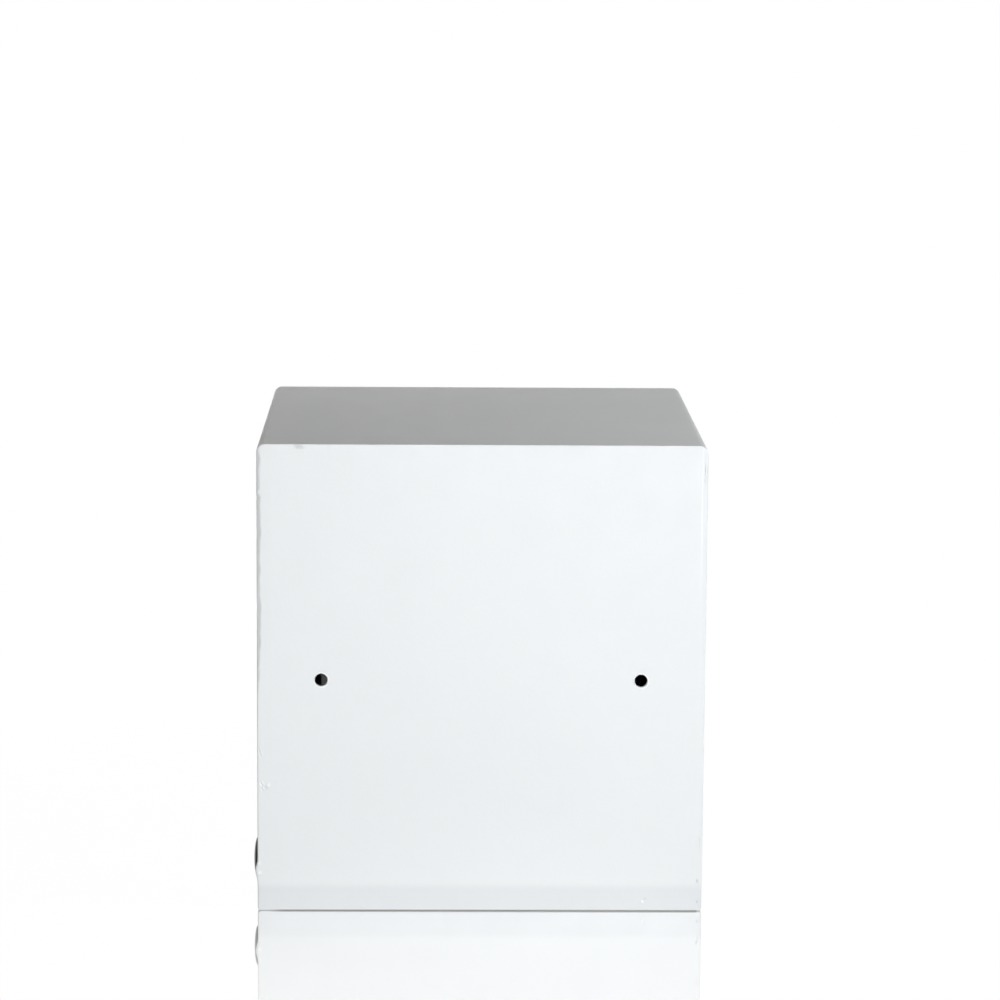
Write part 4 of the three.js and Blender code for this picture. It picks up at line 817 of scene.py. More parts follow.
def rolledDepth(settings, across, inset, sides):
    # depth = fall x (1 - root of (1 - (1 - inset / roll)^2)), a quarter of an ellipse from the outline in
    share, middleAcross, width = settings["footTight"]
    footRoll = settings["footRoll"] * sides[3] * (1 - share * bell(across, middleAcross, width))
    roll = settings["roll"] + footRoll + settings["hingeRoll"] * sides[0]
    fall = roll - settings["footFlat"] * footRoll
    return fall * (1 - np.sqrt(np.maximum(1 - np.clip(1 - inset / roll, 0, None) ** 2, 0)))


def seamDepth(settings, across, up, inset, sides, waves):
    # the ground weld line: a slight hollow with low lips, and deeper pits at single places on the lock side
    lockSide, foot = sides[1], sides[3]
    deep, (start, length) = settings["seamDeep"], settings["seamFootEnds"]
    line = lockSide * (deep["lock"] + deep["waver"] * waves)
    line = line + foot * deep["foot"] * np.clip((start - across) / length, 0, 1)
    level, rough, pitch = settings["pitRough"]
    for height, half, pit in settings["pits"]:
        line = line + lockSide * pit * bell(up, height, half) * (level + rough * np.sin(up / pitch))
    section = bell(inset, settings["seam"], settings["seamWidth"])
    for off, width, share in settings["lips"]:
        section = section - share * bell(inset, settings["seam"] + off, width)
    return line * section


def scratchDepth(settings, across, up, scratch):
    # depth = depth of the scratch x (bell across it - burr beside it), with short sloping ends
    x0, z0, x1, z1, deep = scratch
    shape = settings["scratch"]
    length = math.hypot(x1 - x0, z1 - z0)
    along = ((across - x0) * (x1 - x0) + (up - z0) * (z1 - z0)) / length
    off = ((across - x0) * (z1 - z0) - (up - z0) * (x1 - x0)) / length
    section = bell(off, 0, shape["half"]) - shape["burrShare"] * bell(off, *shape["burr"])
    return deep * section * np.clip(np.minimum(along, length - along) / shape["ends"], 0, 1)


def backDepth(settings, across, up, inset, facing):
    # how far the painted back stands in from its flat face; inset is the way in from the outer edge and
    # facing is the edge's inward direction, which tells the four sides apart
    sides = edgeSides(facing)
    waves = sum(share * np.sin(up / length + start) for share, length, start in settings["waves"])
    depth = groundDepth(settings, up, inset, sides, waves)
    depth = depth + rolledDepth(settings, across, inset, sides)
    depth = depth + seamDepth(settings, across, up, inset, sides, waves)
    # weld metal that fills the ground edge again, up to the level of the face
    for x, z, radius in settings["fills"]:
        depth = depth * (1 - np.exp(-((((across - x) ** 2 + (up - z) ** 2) / radius**2) ** 2)))
    for x, z, radius, high in settings["drops"]:
        depth = depth - high * np.exp(-(((across - x) ** 2 + (up - z) ** 2) / radius**2) ** 1.5)
    for scratch in settings["scratches"]:
        depth = depth + scratchDepth(settings, across, up, scratch)
    # all of it dies out before the flat field inside
    return depth * np.clip((settings["reach"] - inset) / settings["settle"], 0, 1) + lean(settings, up)


def edgeRings(settings):
    # rings round the panel, from its near face over the narrow wall to the inner end of the worked edge
    ring = cabinetOutline(wrapSettings, settings["spacing"])
    inset = settings["reach"] * np.linspace(0, 1, settings["rows"]) ** settings["crowding"]
    plan = insetOutline(wrapSettings, ring, inset)
    inward = inwardFrom(wrapSettings, plan, settings["reach"] + settings["settle"])
    depth = backDepth(settings, plan[..., 0], plan[..., 1], inset[:, None], inward)
    # the overrun of the weld, on the hinge side only: out = how far x bell of the height x e^(-inset / fade)
    facing = inward[0]
    high, up, half, fade = settings["swell"]
    swell = np.where(facing[:, 0] < -0.9, high * bell(ring[:, 1], up, half), 0)
    grow = np.exp(-inset / fade)[:, None, None] * swell[None, :, None]
    plan = plan - grow * facing[None]
    face = np.stack([plan[..., 0], settings["face"] - depth, plan[..., 1]], -1)
    share = np.linspace(0, 1, settings["wallRows"])[:-1, None]
    wallPlan = ring[None] - (share**2 * swell)[..., None] * facing[None]
    wallDepth = settings["near"] + share * (face[0, :, 1] - settings["near"])
    wall = np.stack([wallPlan[..., 0], wallDepth, wallPlan[..., 1]], -1)
    return np.concatenate([wall, face])


def anchorRings(settings, centre):
    # a bore, then its lip: rise = height x sine squared of half a turn across it - drop x (1 - share)^3
    hole, lip = circleLoop(centre, settings["anchorRadius"]), settings["lip"]
    share = np.linspace(0, 1, lip["rings"])
    field = hole[None] - (lip["width"] * share)[:, None, None] * inwardNormals(hole)[None]
    rise = lip["high"] * np.sin(np.pi * share) ** 2 - lip["drop"] * (1 - share) ** 3
    height = settings["face"] - lean(settings, field[..., 1]) + rise[:, None]
    bore = np.stack([hole[:, 0], np.full(len(hole), settings["near"]), hole[:, 1]], -1)
    return np.concatenate([bore[None], np.stack([field[..., 0], height, field[..., 1]], -1)])


def leanField(settings, mesh):
    # the flat field is cut along level lines, and its new points take the strip's lean; those of the edge
    # have it already
    with opened(mesh) as work:
        for height in np.linspace(*settings["cuts"]):
            whole = [*work.verts, *work.edges, *work.faces]
            bmesh.ops.bisect_plane(work, geom=whole, plane_co=(0, 0, height), plane_no=(0, 0, 1))
    points = meshPoints(mesh)
    margin = 1e-5
    across, depth, up = points.T
    inside = np.abs(across) < wrapSettings["halfWidth"] - settings["reach"] - margin
    low = (up > settings["reach"] + margin) & (up < settings["leanEnd"])
    leaning = inside & low & (depth > settings["near"] + 10 * margin)
    points[leaning, 1] = settings["face"] - lean(settings, points[leaning, 2])
    movePoints(mesh, points)


def makeBack(settings):
    # the worked edge, the anchor holes, and the flat fields between them on the face and the near side
    rings = [edgeRings(settings), *(anchorRings(settings, place) for place in settings["anchors"])]
    fields = [flatPart([each[end] for each in rings]) for end in (-1, 0)]
    mesh = joinedMesh("back_panel", [surfacePart(each) for each in rings] + fields)
    leanField(settings, mesh)
    shadeSmooth(mesh, 50)
    # the large faces of the flat field keep one normal each
    smallFace, smoothBelow = settings["smallFace"], settings["smoothBelow"]
    smooth = np.array([
        len(face.vertices) == 4 and face.area < smallFace or face.center[2] < smoothBelow
        for face in mesh.polygons
    ])
    mesh.polygons.foreach_set("use_smooth", smooth)
    return link("back_panel", mesh, backFinish, "cabinet", ("back_plate",))


makeBack(backSettings)

frameSettings = {
    "edge": 0.0007,
    "corner": 0.0035,
    "footCorner": 0.0009,
    "openingCorner": 0.003,
    # for the door and for the hopper: half width, lower edge, upper edge
    "openings": [(0.141, 0.028, 0.246), (0.12, 0.276, 0.346)],
}


def makeFrontFrame(settings):
    low, high = nodeBox("front_frame")
    corners = np.repeat([settings["corner"], settings["footCorner"]], 2)
    outline = roundedRectangle((low[2], low[0]), (high[2], high[0]), corners)
    holes = [
        roundedRectangle((foot, -half), (head, half), settings["openingCorner"], 6)
        for half, foot, head in settings["openings"]
    ]
    mesh = sheetMesh("face_frame", outline, holes, low[1], high[1], settings["edge"], 1)
    return link("face_frame", mesh, paintFinish, "cabinet", ("front_frame",))


makeFrontFrame(frameSettings)
softenedPiece("jamb_sleeve", "door_jamb", 0.0004, paintFinish, 2)
for end in ("top", "bottom"):
    softenedPiece(f"hinge_block_{end}", f"hinge_bush_{end}", 0.0004, zincBlock, 2)

plugSettings = {
    "headRadius": 0.016,
    "crown": 0.0038,
    "rim": 0.001,
    "shank": 0.0132,
    "wall": 0.0018,
    "floor": 0.0008,
    "depth": 0.009,
    # the barb swells behind the sheet: how far out, where it starts and where it is widest
    "barb": (0.0009, 0.0034, 0.0049),
}


def makePlug(settings):
    # a low dome over a flat flange, then a shank with a barb behind the wall: (radius, way out from the wall)
    turn = np.linspace(0, np.pi / 2, 14)
    headRadius, rim, shank = settings["headRadius"], settings["rim"], settings["shank"]
    dome = np.stack([headRadius * np.cos(turn), rim + (settings["crown"] - rim) * np.sin(turn)], -1)
    bore, floor, depth = shank - settings["wall"], settings["floor"], settings["depth"]
    barb, barbStart, barbWidest = settings["barb"]
    foot = [
        (0, -floor), (bore, -floor), (bore, -depth), (shank - barb, -depth), (shank + barb, -barbWidest),
        (shank, -barbStart), (shank, 0), (headRadius, 0),
    ]
    centre = (wrapSettings["halfWidth"], *middle("cable_plug")[1:])
    profile = np.vstack([foot, dome])
    mesh = surfaceMesh("cable_hole_plug", turnedPoints(profile, centre, 0, 96), sharp=40)
    return link("cable_hole_plug", mesh, plugMoulding, "cabinet", ("cable_plug",))


makePlug(plugSettings)

matSettings = {"corner": 0.004, "edge": 0.0009}


def makeMat(settings):
    low, high = nodeBox("floor_mat")
    outline = roundedRectangle(low[:2], high[:2], settings["corner"])
    mesh = sheetMesh("felt_mat", outline, [], low[2], high[2], settings["edge"], 2)
    return link("felt_mat", mesh, feltFinish, "cabinet", ("floor_mat",))


makeMat(matSettings)
print("cabinet made")


# hopper
hopperSettings = {
    "pivotY": -0.1585, "pivotZ": 0.2895, "nose": 0.012, "sheet": 0.004, "slope": 30, "top": 0.0545,
    "edge": 0.0006,
}


def makeFlap(settings):
    # the flat face runs down into an arc round the pivot; the outline is carried across the width
    roll = math.pi * 1.5 - math.radians(settings["slope"])
    outer, inner = settings["nose"], settings["nose"] - settings["sheet"]
    outline = np.vstack([
        [(-inner, settings["top"]), (-outer, settings["top"])],
        arcPoints((0, 0), outer, math.pi, roll, 24),
        arcPoints((0, 0), inner, roll, math.pi, 24),
    ]) + (settings["pivotY"], settings["pivotZ"])
    low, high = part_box("hopper_flap")
    mesh = sheetMesh("deposit_flap", outline, [], low[0], high[0], settings["edge"], 0)
    return link("deposit_flap", mesh, paintFinish, "hopper", ("hopper_flap",))


makeFlap(hopperSettings)
softenedPiece("scoop_tray", "hopper_scoop", 0.0005, zincSheet, 2, 40)
for side in ("left", "right"):
    softenedPiece(f"scoop_end_{side}", f"scoop_cheek_{side}", 0.0003, zincSheet, 2, 40)
    softenedPiece(f"hopper_plate_{side}", f"hopper_side_{side}", 0.0003, zincSheet, 2, 40)
    softenedPiece(f"pivot_bush_{side}", f"hopper_bush_{side}", 0.0002, brassFinish, 2)
    softenedPiece(f"pivot_pin_{side}", f"hopper_pin_{side}", 0.0003, chromeFinish, 2)
softenedPiece("toothed_baffle", "anti_fish_baffle", 0.0002, zincSheet, 2, 40)

handleSettings = {
    "half": 0.052, "face": -0.1705, "out": -0.1955, "z": 0.327, "radius": 0.004, "bend": 0.012, "gap": 0.0002,
    # collar at each foot: bore, radius, radius of its flat top, height of its rim, full height
    "collar": (0.0035, 0.007, 0.0052, 0.0016, 0.0026),
}


def makeHandle(settings):
    # a round bar bent twice in a level plane, carried along its middle line, with a collar at each foot
    half, face, out, bend = settings["half"], settings["face"], settings["out"], settings["bend"]
    foot = face + settings["gap"]
    line = np.vstack([
        [(-half, foot)],
        arcPoints((-half + bend, out + bend), bend, math.pi, 1.5 * math.pi, 16),
        arcPoints((half - bend, out + bend), bend, -0.5 * math.pi, 0, 16),
        [(half, foot)],
    ])
    path = np.column_stack([line, np.full(len(line), settings["z"])])
    section = circleLoop((0, 0), settings["radius"], 32)
    barAlong(
        "handle_bar", section, path, (0, 0, 1), nickelFinish, "hopper", ("hopper_handle",)
    )
    bore, radius, top, rim, height = settings["collar"]
    profile = [(bore, 0), (radius, 0), (radius, -rim), (top, -height), (bore, -height), (bore, 0)]
    for name, x in (("handle_foot_left", -half), ("handle_foot_right", half)):
        centre = (x, face, settings["z"])
        turnedPiece(name, profile, centre, 1, nickelFinish, "hopper", (), 64, 0.0005)


makeHandle(handleSettings)
print("hopper made")


# door
doorSettings = {
    "edge": 0.0008, "corner": 0.0015, "spindleHole": 0.0078, "lockHole": 0.0091,
    "leadHole": 0.0035, "leadPlace": (0.012, 0.176),
}
knobPlace = (-0.049, 0.137)
lockPlace = (-0.049, 0.1851)


def makeDoor(settings):
    low, high = nodeBox("door_plate")
    outline = roundedRectangle((low[2], low[0]), (high[2], high[0]), settings["corner"], 5)
    holes = [
        circleLoop(knobPlace[::-1], settings["spindleHole"]),
        circleLoop(lockPlace[::-1], settings["lockHole"]),
        circleLoop(settings["leadPlace"][::-1], settings["leadHole"], 32),
    ]
    mesh = sheetMesh("door_panel", outline, holes, low[1], high[1], settings["edge"], 1)
    return link("door_panel", mesh, paintFinish, "door", ("door_plate",))


makeDoor(doorSettings)
for end in ("top", "bottom"):
    softenedPiece(f"hinge_carrier_{end}", f"hinge_lug_{end}", 0.0004, zincBlock, 2)
    softenedPiece(f"pivot_{end}", f"hinge_pin_{end}", 0.0003, chromeFinish, 2)
    softenedPiece(f"guide_stud_{end}", f"carrier_stud_{end}", 0.0003, chromeFinish, 2)
softenedPiece("bolt_bracket", "bolt_guide", 0.0004, zincSheet, 2)
softenedPiece("boltwork_cover", "door_cover", 0.0005, coverFinish, 3)

screwSettings = {
    "radius": 0.0036, "height": 0.0017, "foot": 0.0008, "inset": 0.011, "sunk": 0.0001,
    "slot": 0.0005, "slotReach": 0.0021, "slotDepth": 0.0009,
}


def makeScrew(name, x, y, z, settings):
    # pan head: height = full height x (1 - (way out / radius)^4)^0.5, sunk where a cross of two slots lies
    share = np.linspace(1, 0, 20, endpoint=False)[:, None]
    turn = np.linspace(0, 2 * np.pi, 96, endpoint=False)[None, :]
    across, up = settings["radius"] * share * np.cos(turn), settings["radius"] * share * np.sin(turn)
    dome = settings["height"] * np.sqrt(np.clip(1 - share**4, 0, 1)) * np.ones_like(turn)
    nearSlot = np.minimum(np.abs(across), np.abs(up)) / settings["slot"]
    reach = np.maximum(np.abs(across), np.abs(up)) / settings["slotReach"]
    rise = dome - settings["slotDepth"] * np.exp(-(nearSlot**4)) * np.exp(-(reach**8))
    head = np.stack([x + across, y + rise, z + up], -1)
    foot = head[:1] - (0, settings["foot"], 0)
    mesh = surfaceMesh(name, np.concatenate([foot, head]), caps=True, sharp=50)
    return link(name, mesh, screwFinish, "door", ())


def makeScrews(settings):
    low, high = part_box("door_cover")
    inset, face = settings["inset"], high[1] - settings["sunk"]
    for side, across in (("lock", low[0] + inset), ("hinge", high[0] - inset)):
        for level, up in (("low", low[2] + inset), ("high", high[2] - inset)):
            makeScrew(f"cover_screw_{side}_{level}", across, face, up, settings)


makeScrews(screwSettings)

rosetteSettings = {
    "bore": 0.0052, "flange": 0.027, "sleeve": 0.0077, "thickness": 0.0025, "chamfer": 0.0012, "steps": 128,
}
lockSettings = {
    "bore": 0.00665, "flange": 0.011, "sleeve": 0.009, "thickness": 0.002, "chamfer": 0.001, "steps": 96,
}


def makeFlangedSleeve(name, node, place, finishName, roughness, settings):
    # a bored sleeve through the door plate, with a chamfered flange on the plate's face
    low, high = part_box(node)
    front, back = low[1], high[1]
    face = front + settings["thickness"]
    bore, flange, sleeve = settings["bore"], settings["flange"], settings["sleeve"]
    chamfer = settings["chamfer"]
    profile = [
        (bore, back), (bore, front), (flange - chamfer, front), (flange, front + chamfer), (flange, face),
        (sleeve, face), (sleeve, back),
    ]
    centre = (place[0], 0, place[1])
    finish = turnedSteel(finishName, centre, 1, steelTone, roughness)
    return turnedPiece(
        name, profile, centre, 1, finish, "door", (node,), settings["steps"], 0.0003, True
    )


makeFlangedSleeve("knob_plate", "knob_rosette", knobPlace, "rosette_steel", 0.24, rosetteSettings)
makeFlangedSleeve("lock_barrel", "emergency_lock", lockPlace, "lock_steel", 0.2, lockSettings)
coreFinish = turnedSteel("core_brass", (lockPlace[0], 0, lockPlace[1]), 1, brassTone, 0.24)
softenedPiece("lock_core", "key_plug", 0.0002, coreFinish, 2)
softenedPiece("coil_frame", "solenoid", 0.0003, zincBlock, 2)
softenedPiece("plunger_rod", "solenoid_plunger", 0.0003, chromeFinish, 2)
print("door made")


# boltwork
softenedPiece("bolt_plate", "bolt_carrier", 0.0004, zincSheet, 2)
softenedPiece("crank_plate", "drive_crank", 0.0004, zincBlock, 2)
softenedPiece("spindle_rod", "knob_spindle", 0.0003, chromeFinish, 2)

boltSettings = {"radius": 0.008, "chamfer": 0.0015, "tone": (0.68, 0.68, 0.69), "roughness": 0.18}


def makeBolt(place, settings):
    # a round bar with a chamfered tip, turned about its own axis along X
    low, high = nodeBox(f"live_bolt_{place}")
    axisPlace = (0, *(low + high)[1:] / 2)
    radius, chamfer = settings["radius"], settings["chamfer"]
    profile = [
        (0, high[0]), (radius, high[0]), (radius, low[0] + chamfer), (radius - chamfer, low[0]), (0, low[0]),
    ]
    finish = turnedSteel(f"bolt_steel_{place}", axisPlace, 0, settings["tone"], settings["roughness"])
    return turnedPiece(
        f"round_bolt_{place}", profile, axisPlace, 0, finish, "boltwork", (f"live_bolt_{place}",),
        72,
    )


for place in ("top", "middle", "bottom"):
    makeBolt(place, boltSettings)

knobSettings = {
    "skirt": 0.023,
    "grip": 0.02,
    "bore": 0.0051,
    "boreEnd": 0.008,
    # ways from the back: to the skirt's rim, to the foot of the grip, and to where the flutes start
    "skirtRim": 0.003,
    "gripFoot": 0.006,
    "fluteFoot": 0.0068,
    # the grip is this much wider at its foot and narrower at its front
    "flare": 0.0002,
    "taper": 0.0008,
    "softCorners": 0.0007,
    # the rounded front edge, then the dished front: (way in from the grip, way from the front)
    "nose": (0.003, 0.003),
    "dish": (0.006, 0.0008),
    "dishDepth": 0.0016,
    "flutes": 12,
    "fluteRadius": 0.0032,
    "fluteDepth": 0.0018,
    "fluteWidth": 0.0045,
    "fluteEdge": 0.00035,
    "markReach": (0.0078, 0.0128),
    "markWidth": 0.0014,
    "markDepth": (0.0006, 0.0014),
    "markEdge": 0.00005,
}


def makeKnob(settings):
    # turned body whose radius drops into round scoops: each scoop is a circle whose middle lies outside the
    # grip, and the two radii are joined with a rounded edge
    low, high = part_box("turn_knob")
    front, back = low[1], high[1]
    grip, bore, boreEnd = settings["grip"], settings["bore"], front + settings["boreEnd"]
    noseIn, noseBack = settings["nose"]
    dishIn, dishBack = settings["dish"]
    profile = rounded([
        (bore, boreEnd), (bore, back), (settings["skirt"], back),
        (settings["skirt"], back - settings["skirtRim"]),
        (grip + settings["flare"], back - settings["gripFoot"]),
        (grip - settings["taper"], front + noseBack), (grip - noseIn, front),
        (grip - dishIn, front + dishBack), (0, front + settings["dishDepth"]),
    ], settings["softCorners"])
    steps, edge = 288, settings["fluteEdge"]
    reach = grip + settings["fluteRadius"] - settings["fluteDepth"]

    def fluted(shape, turn):
        pitch = 2 * np.pi / settings["flutes"]
        off = turn % pitch - pitch / 2
        across = reach * np.sin(off)
        inside = np.clip(settings["fluteRadius"] ** 2 - across**2, 0, None)
        scoop = np.where(
            np.abs(across) < settings["fluteRadius"], reach * np.cos(off) - np.sqrt(inside), 1.0
        )
        plain = shape[:, :1] * np.ones_like(turn)
        onGrip = (shape[:, 1] < back - settings["fluteFoot"]) & (shape[:, 0] > grip - settings["fluteWidth"])
        soft = -edge * np.logaddexp(-plain / edge, -scoop / edge)
        return np.where(onGrip[:, None], np.minimum(plain, soft), plain)

    centre = (knobPlace[0], 0, knobPlace[1])
    points = turnedPoints(profile, centre, 1, steps, fluted)
    socket = turnedPoints([(0, boreEnd), (bore, boreEnd)], centre, 1, steps)
    mesh = surfaceMesh("fluted_knob", np.concatenate([socket, points[1:]]), sharp=40)
    return link("fluted_knob", mesh, blackMoulding, "knob", ("turn_knob",))


makeKnob(knobSettings)


def makeKnobMark(settings):
    # a short white line on the knob's face that shows which way it is turned
    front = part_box("turn_knob")[0][1]
    inner, outer = settings["markReach"]
    near, far = settings["markDepth"]
    half = settings["markWidth"] / 2
    low, high = (knobPlace[1] + inner, knobPlace[0] - half), (knobPlace[1] + outer, knobPlace[0] + half)
    outline = roundedRectangle(low, high, 0.9 * half, 6)
    mesh = sheetMesh("knob_mark", outline, [], front + near, front + far, settings["markEdge"], 1)
    return link("knob_mark", mesh, keyMoulding, "knob", ())


makeKnobMark(knobSettings)

resetSettings = {"radius": 0.004, "flange": 0.0056, "flangeRise": (0.0028, 0.0044), "chamfer": 0.0007}


def makeResetCap(settings):
    # a round cap with a flange behind the cover, measured back from the cap's face
    low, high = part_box("reset_button")
    radius, flange, chamfer = settings["radius"], settings["flange"], settings["chamfer"]
    over, under = (high[1] - way for way in settings["flangeRise"])
    profile = [
        (0, low[1]), (radius, low[1]), (radius, under), (flange, under), (flange, over),
        (radius, over), (radius, high[1] - chamfer), (radius - chamfer, high[1]), (0, high[1]),
    ]
    centre = ((low[0] + high[0]) / 2, 0, (low[2] + high[2]) / 2)
    return turnedPiece(
        "reset_cap", profile, centre, 1, redMoulding, "reset", ("reset_button",), 48
    )


makeResetCap(resetSettings)
print("boltwork made")


# keypad
softenedPiece("keypad_case", "keypad_housing", 0.0005, blackMoulding, 3, 25)
softenedPiece("battery_lid", "battery_cover", 0.0004, blackMoulding, 2)

keySettings = {
    "corner": 0.003,
    "flange": 0.001,
    "flangeRise": 0.0012,
    "crown": 0.0009,
    # rings of the dish: (way in from the outline, share of its depth)
    "dishRings": [(0.0016, 0.7), (0.0023, 1.0)],
    "dish": 0.00025,
    "digit": 0.0074,
    "digitRise": 0.00012,
    # the clear key's bar: half height, half length, corner; the enter key's ring: outer and inner radius
    "bar": (0.0005, 0.0024, 0.0004),
    "ring": (0.0022, 0.0014),
    "markSunk": 0.0001,
    "markEdge": 0.00004,
}


def makeKey(name, settings):
    # rings of one rounded outline: grown for the flange, then drawn in and raised to a soft rim, then dished
    low, high = nodeBox(f"key_{name}")
    flange, crown = settings["flange"], settings["crown"]
    outline = roundedRectangle(low[[2, 0]] + flange, high[[2, 0]] - flange, settings["corner"], 6)
    turn = np.linspace(0, np.pi / 2, 6)[1:]
    dishInset, dishShare = np.array(settings["dishRings"]).T
    inset = np.concatenate([[-flange, -flange, 0, 0], crown * (1 - np.cos(turn)), dishInset])
    over = high[1] - settings["flangeRise"]
    depth = np.concatenate([
        [high[1], over, over, low[1] + crown],
        low[1] + crown * (1 - np.sin(turn)),
        low[1] + settings["dish"] * dishShare,
    ])
    rings = outline[None] + inset[:, None, None] * inwardNormals(outline)[None]
    points = np.stack([rings[..., 1], np.broadcast_to(depth[:, None], rings.shape[:2]), rings[..., 0]], -1)
    mesh = surfaceMesh(f"cap_{name}", points, caps=True, sharp=50)
    link(f"cap_{name}", mesh, keyMoulding, nodes[f"key_{name}"]["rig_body"], (f"key_{name}",))
    return (low + high) / 2, low[1] + settings["dish"]


def makeDigit(name, centre, face, settings):
    # a plain numeral, made flat, given a little thickness and stood up on the key
    curve = bpy.data.curves.new(f"digit_{name}", "FONT")
    curve.body, curve.size, curve.extrude = name, settings["digit"], settings["digitRise"]
    curve.align_x, curve.align_y = "CENTER", "CENTER"
    text = bpy.data.objects.new("text", curve)
    scene.collection.objects.link(text)
    mesh = evaluatedMesh(text)
    bpy.data.objects.remove(text)
    points = meshPoints(mesh)
    points[:, :2] -= (points[:, :2].max(0) + points[:, :2].min(0)) / 2
    stood = np.stack([centre[0] + points[:, 0], face - points[:, 2], centre[2] + points[:, 1]], -1)
    movePoints(mesh, stood)
    link(f"digit_{name}", mesh, inkFinish, nodes[f"key_{name}"]["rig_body"], ())


def makeMark(name, key, outline, holes, face, settings):
    # a flat mark that stands up from the key's dish as far as the numerals do
    near, far = face - settings["digitRise"], face + settings["markSunk"]
    mesh = sheetMesh(name, outline, holes, near, far, settings["markEdge"], 1)
    link(name, mesh, inkFinish, nodes[f"key_{key}"]["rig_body"], ())


def makeKeypad(settings):
    for name in ("1", "2", "3", "4", "5", "6", "7", "8", "9", "0"):
        centre, face = makeKey(name, settings)
        makeDigit(name, centre, face, settings)
    centre, face = makeKey("clear", settings)
    halfHeight, halfLength, corner = settings["bar"]
    place, half = centre[[2, 0]], np.array([halfHeight, halfLength])
    bar = roundedRectangle(place - half, place + half, corner, 4)
    makeMark("clear_mark", "clear", bar, [], face, settings)
    centre, face = makeKey("enter", settings)
    outer, inner = (circleLoop(centre[[2, 0]], radius) for radius in settings["ring"])
    makeMark("enter_mark", "enter", outer, [inner], face, settings)


makeKeypad(keySettings)
print("keypad made")


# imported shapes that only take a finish
for node, finish in {
    "solenoid_lead": leadFinish,
    "circuit_board": boardFinish,
    "battery": batteryFinish,
}.items():
    nodes[node].data.materials.clear()
    nodes[node].data.materials.append(finish)


# studio
studioSettings = {
    "ambient": 0.14,
    "roomColour": (1.0, 0.99, 0.965),
    "lampColour": (0.965, 1.0, 1.02),
    # the table top: its radius and height, how much it mirrors at the object's foot, how far away that ends,
    # and between which ways it turns plain white
    "floorRadius": 6.0,
    "floorHeight": -0.0001,
    "objectHalf": (0.17, 0.165, 0),
    "mirrorStart": 0.87,
    "mirrorReach": 0.53,
    "mirrorRoughness": 0.03,
    "white": (0.05, 0.45),
    "nearGlow": 0.92,
    "nearTone": (0.2, 0.2, 0.2, 1),
    "otherTone": (0.8, 0.8, 0.8, 1),
    "aim": (0, 0, 0.19),
    # place, size, power, and whether the lamp gives highlights
    "lamps": {
        "backSoftLamp": ((-0.3, 2.5, 0.1), (1.0, 1.0), 61.9, True),
        "topSoftLamp": ((-0.75, 0.32, 0.85), (0.3, 0.3), 1.79, True),
        "frontSoftLamp": ((0.3, -2.3, 0.35), (1.3, 0.7), 33, False),
    },
}


def makeWorld(settings):
    world = bpy.data.worlds.new("studioWorld")
    scene.world = world
    world.use_nodes = True
    tree = world.node_tree
    tree.nodes.clear()
    path = addNode(tree, "ShaderNodeLightPath").outputs
    seen = arithmetic(tree, "MAXIMUM", path["Is Camera Ray"], path["Is Glossy Ray"])
    seen = arithmetic(tree, "MAXIMUM", seen, path["Is Transmission Ray"])
    roomLight = {"Color": (*settings["roomColour"], 1), "Strength": settings["ambient"]}
    room = addNode(tree, "ShaderNodeBackground", roomLight)
    backdrop = addNode(tree, "ShaderNodeBackground", {"Color": (1, 1, 1, 1), "Strength": 1.0})
    mix = addNode(tree, "ShaderNodeMixShader", {0: seen, 1: room.outputs[0], 2: backdrop.outputs[0]})
    output = addNode(tree, "ShaderNodeOutputWorld")
    tree.links.new(mix.outputs[0], output.inputs["Surface"])


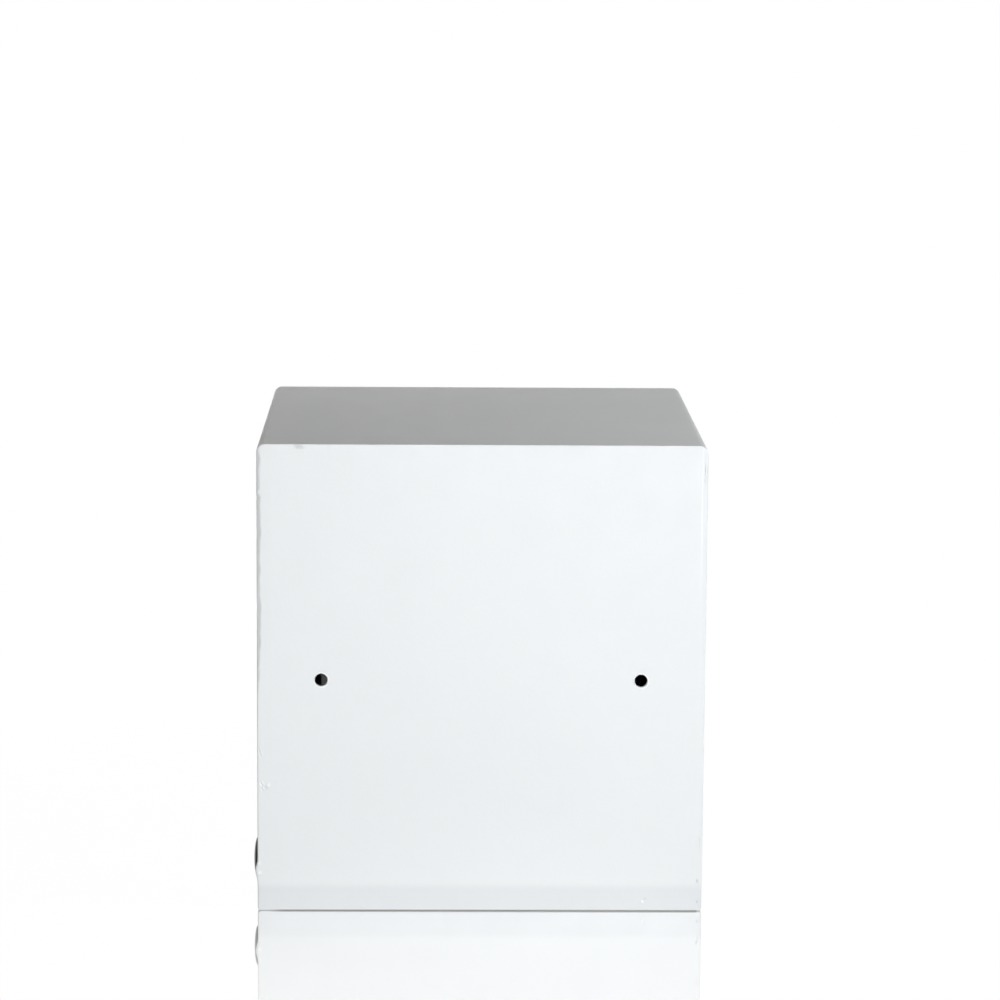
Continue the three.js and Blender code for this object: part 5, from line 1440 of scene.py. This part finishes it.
def tableTop(settings):
    # polished white: it mirrors what stands on it, less and less with the way from the object
    material = bpy.data.materials.new("table_top")
    material.use_nodes = True
    tree = material.node_tree
    tree.nodes.clear()
    aside = vectorStep(tree, "ABSOLUTE", objectCoordinates(tree))
    aside = vectorStep(tree, "SUBTRACT", aside, settings["objectHalf"])
    aside = vectorStep(tree, "MAXIMUM", aside)
    away = vectorStep(tree, "LENGTH", aside, output="Value")
    mirrorShare = remap(tree, away, 0, settings["mirrorReach"], settings["mirrorStart"], 0)
    whiteShare = remap(tree, away, *settings["white"], 0, 1)
    lit = addNode(tree, "ShaderNodeBsdfDiffuse", {"Color": settings["nearTone"]})
    fill = addNode(tree, "ShaderNodeEmission", {"Color": (1, 1, 1, 1), "Strength": settings["nearGlow"]})
    shaded = addNode(tree, "ShaderNodeAddShader", {0: lit.outputs[0], 1: fill.outputs[0]})
    white = addNode(tree, "ShaderNodeEmission", {"Color": (1, 1, 1, 1), "Strength": 1.0})
    ground = addNode(tree, "ShaderNodeMixShader", {0: whiteShare, 1: shaded.outputs[0], 2: white.outputs[0]})
    polish = {"Color": (1, 1, 1, 1), "Roughness": settings["mirrorRoughness"]}
    mirror = addNode(tree, "ShaderNodeBsdfGlossy", polish)
    seen = addNode(tree, "ShaderNodeMixShader", {0: mirrorShare, 1: ground.outputs[0], 2: mirror.outputs[0]})
    path = addNode(tree, "ShaderNodeLightPath").outputs
    glossy = arithmetic(tree, "MAXIMUM", path["Is Glossy Ray"], path["Is Transmission Ray"])
    plain = addNode(tree, "ShaderNodeBsdfDiffuse", {"Color": settings["otherTone"]})
    other = addNode(tree, "ShaderNodeMixShader", {0: glossy, 1: plain.outputs[0], 2: white.outputs[0]})
    shaders = {0: path["Is Camera Ray"], 1: other.outputs[0], 2: seen.outputs[0]}
    both = addNode(tree, "ShaderNodeMixShader", shaders)
    output = addNode(tree, "ShaderNodeOutputMaterial")
    tree.links.new(both.outputs[0], output.inputs["Surface"])
    return material


def makeFloor(settings):
    ring = circleLoop((0, 0), settings["floorRadius"], 96)
    points = np.column_stack([ring, np.full(len(ring), settings["floorHeight"])])
    mesh = newMesh("studioFloor", points, [list(range(len(ring)))])
    floor = bpy.data.objects.new("studioFloor", mesh)
    scene.collection.objects.link(floor)
    mesh.materials.append(tableTop(settings))


def makeLamp(name, place, size, power, shine, settings):
    data = bpy.data.lights.new(name, "AREA")
    data.shape, data.energy = "RECTANGLE", power
    data.size, data.size_y = size
    data.color = settings["lampColour"]
    lamp = bpy.data.objects.new(name, data)
    scene.collection.objects.link(lamp)
    towards = Vector(settings["aim"]) - Vector(place)
    lamp.matrix_world = Matrix.Translation(place) @ towards.to_track_quat("-Z", "Y").to_matrix().to_4x4()
    lamp.visible_camera = False
    # the lamp before the door gives no highlight, so that none runs along the bends of the top
    lamp.visible_glossy = shine


makeWorld(studioSettings)
makeFloor(studioSettings)
for lampName, lamp in studioSettings["lamps"].items():
    makeLamp(lampName, *lamp, studioSettings)
print("studio made")
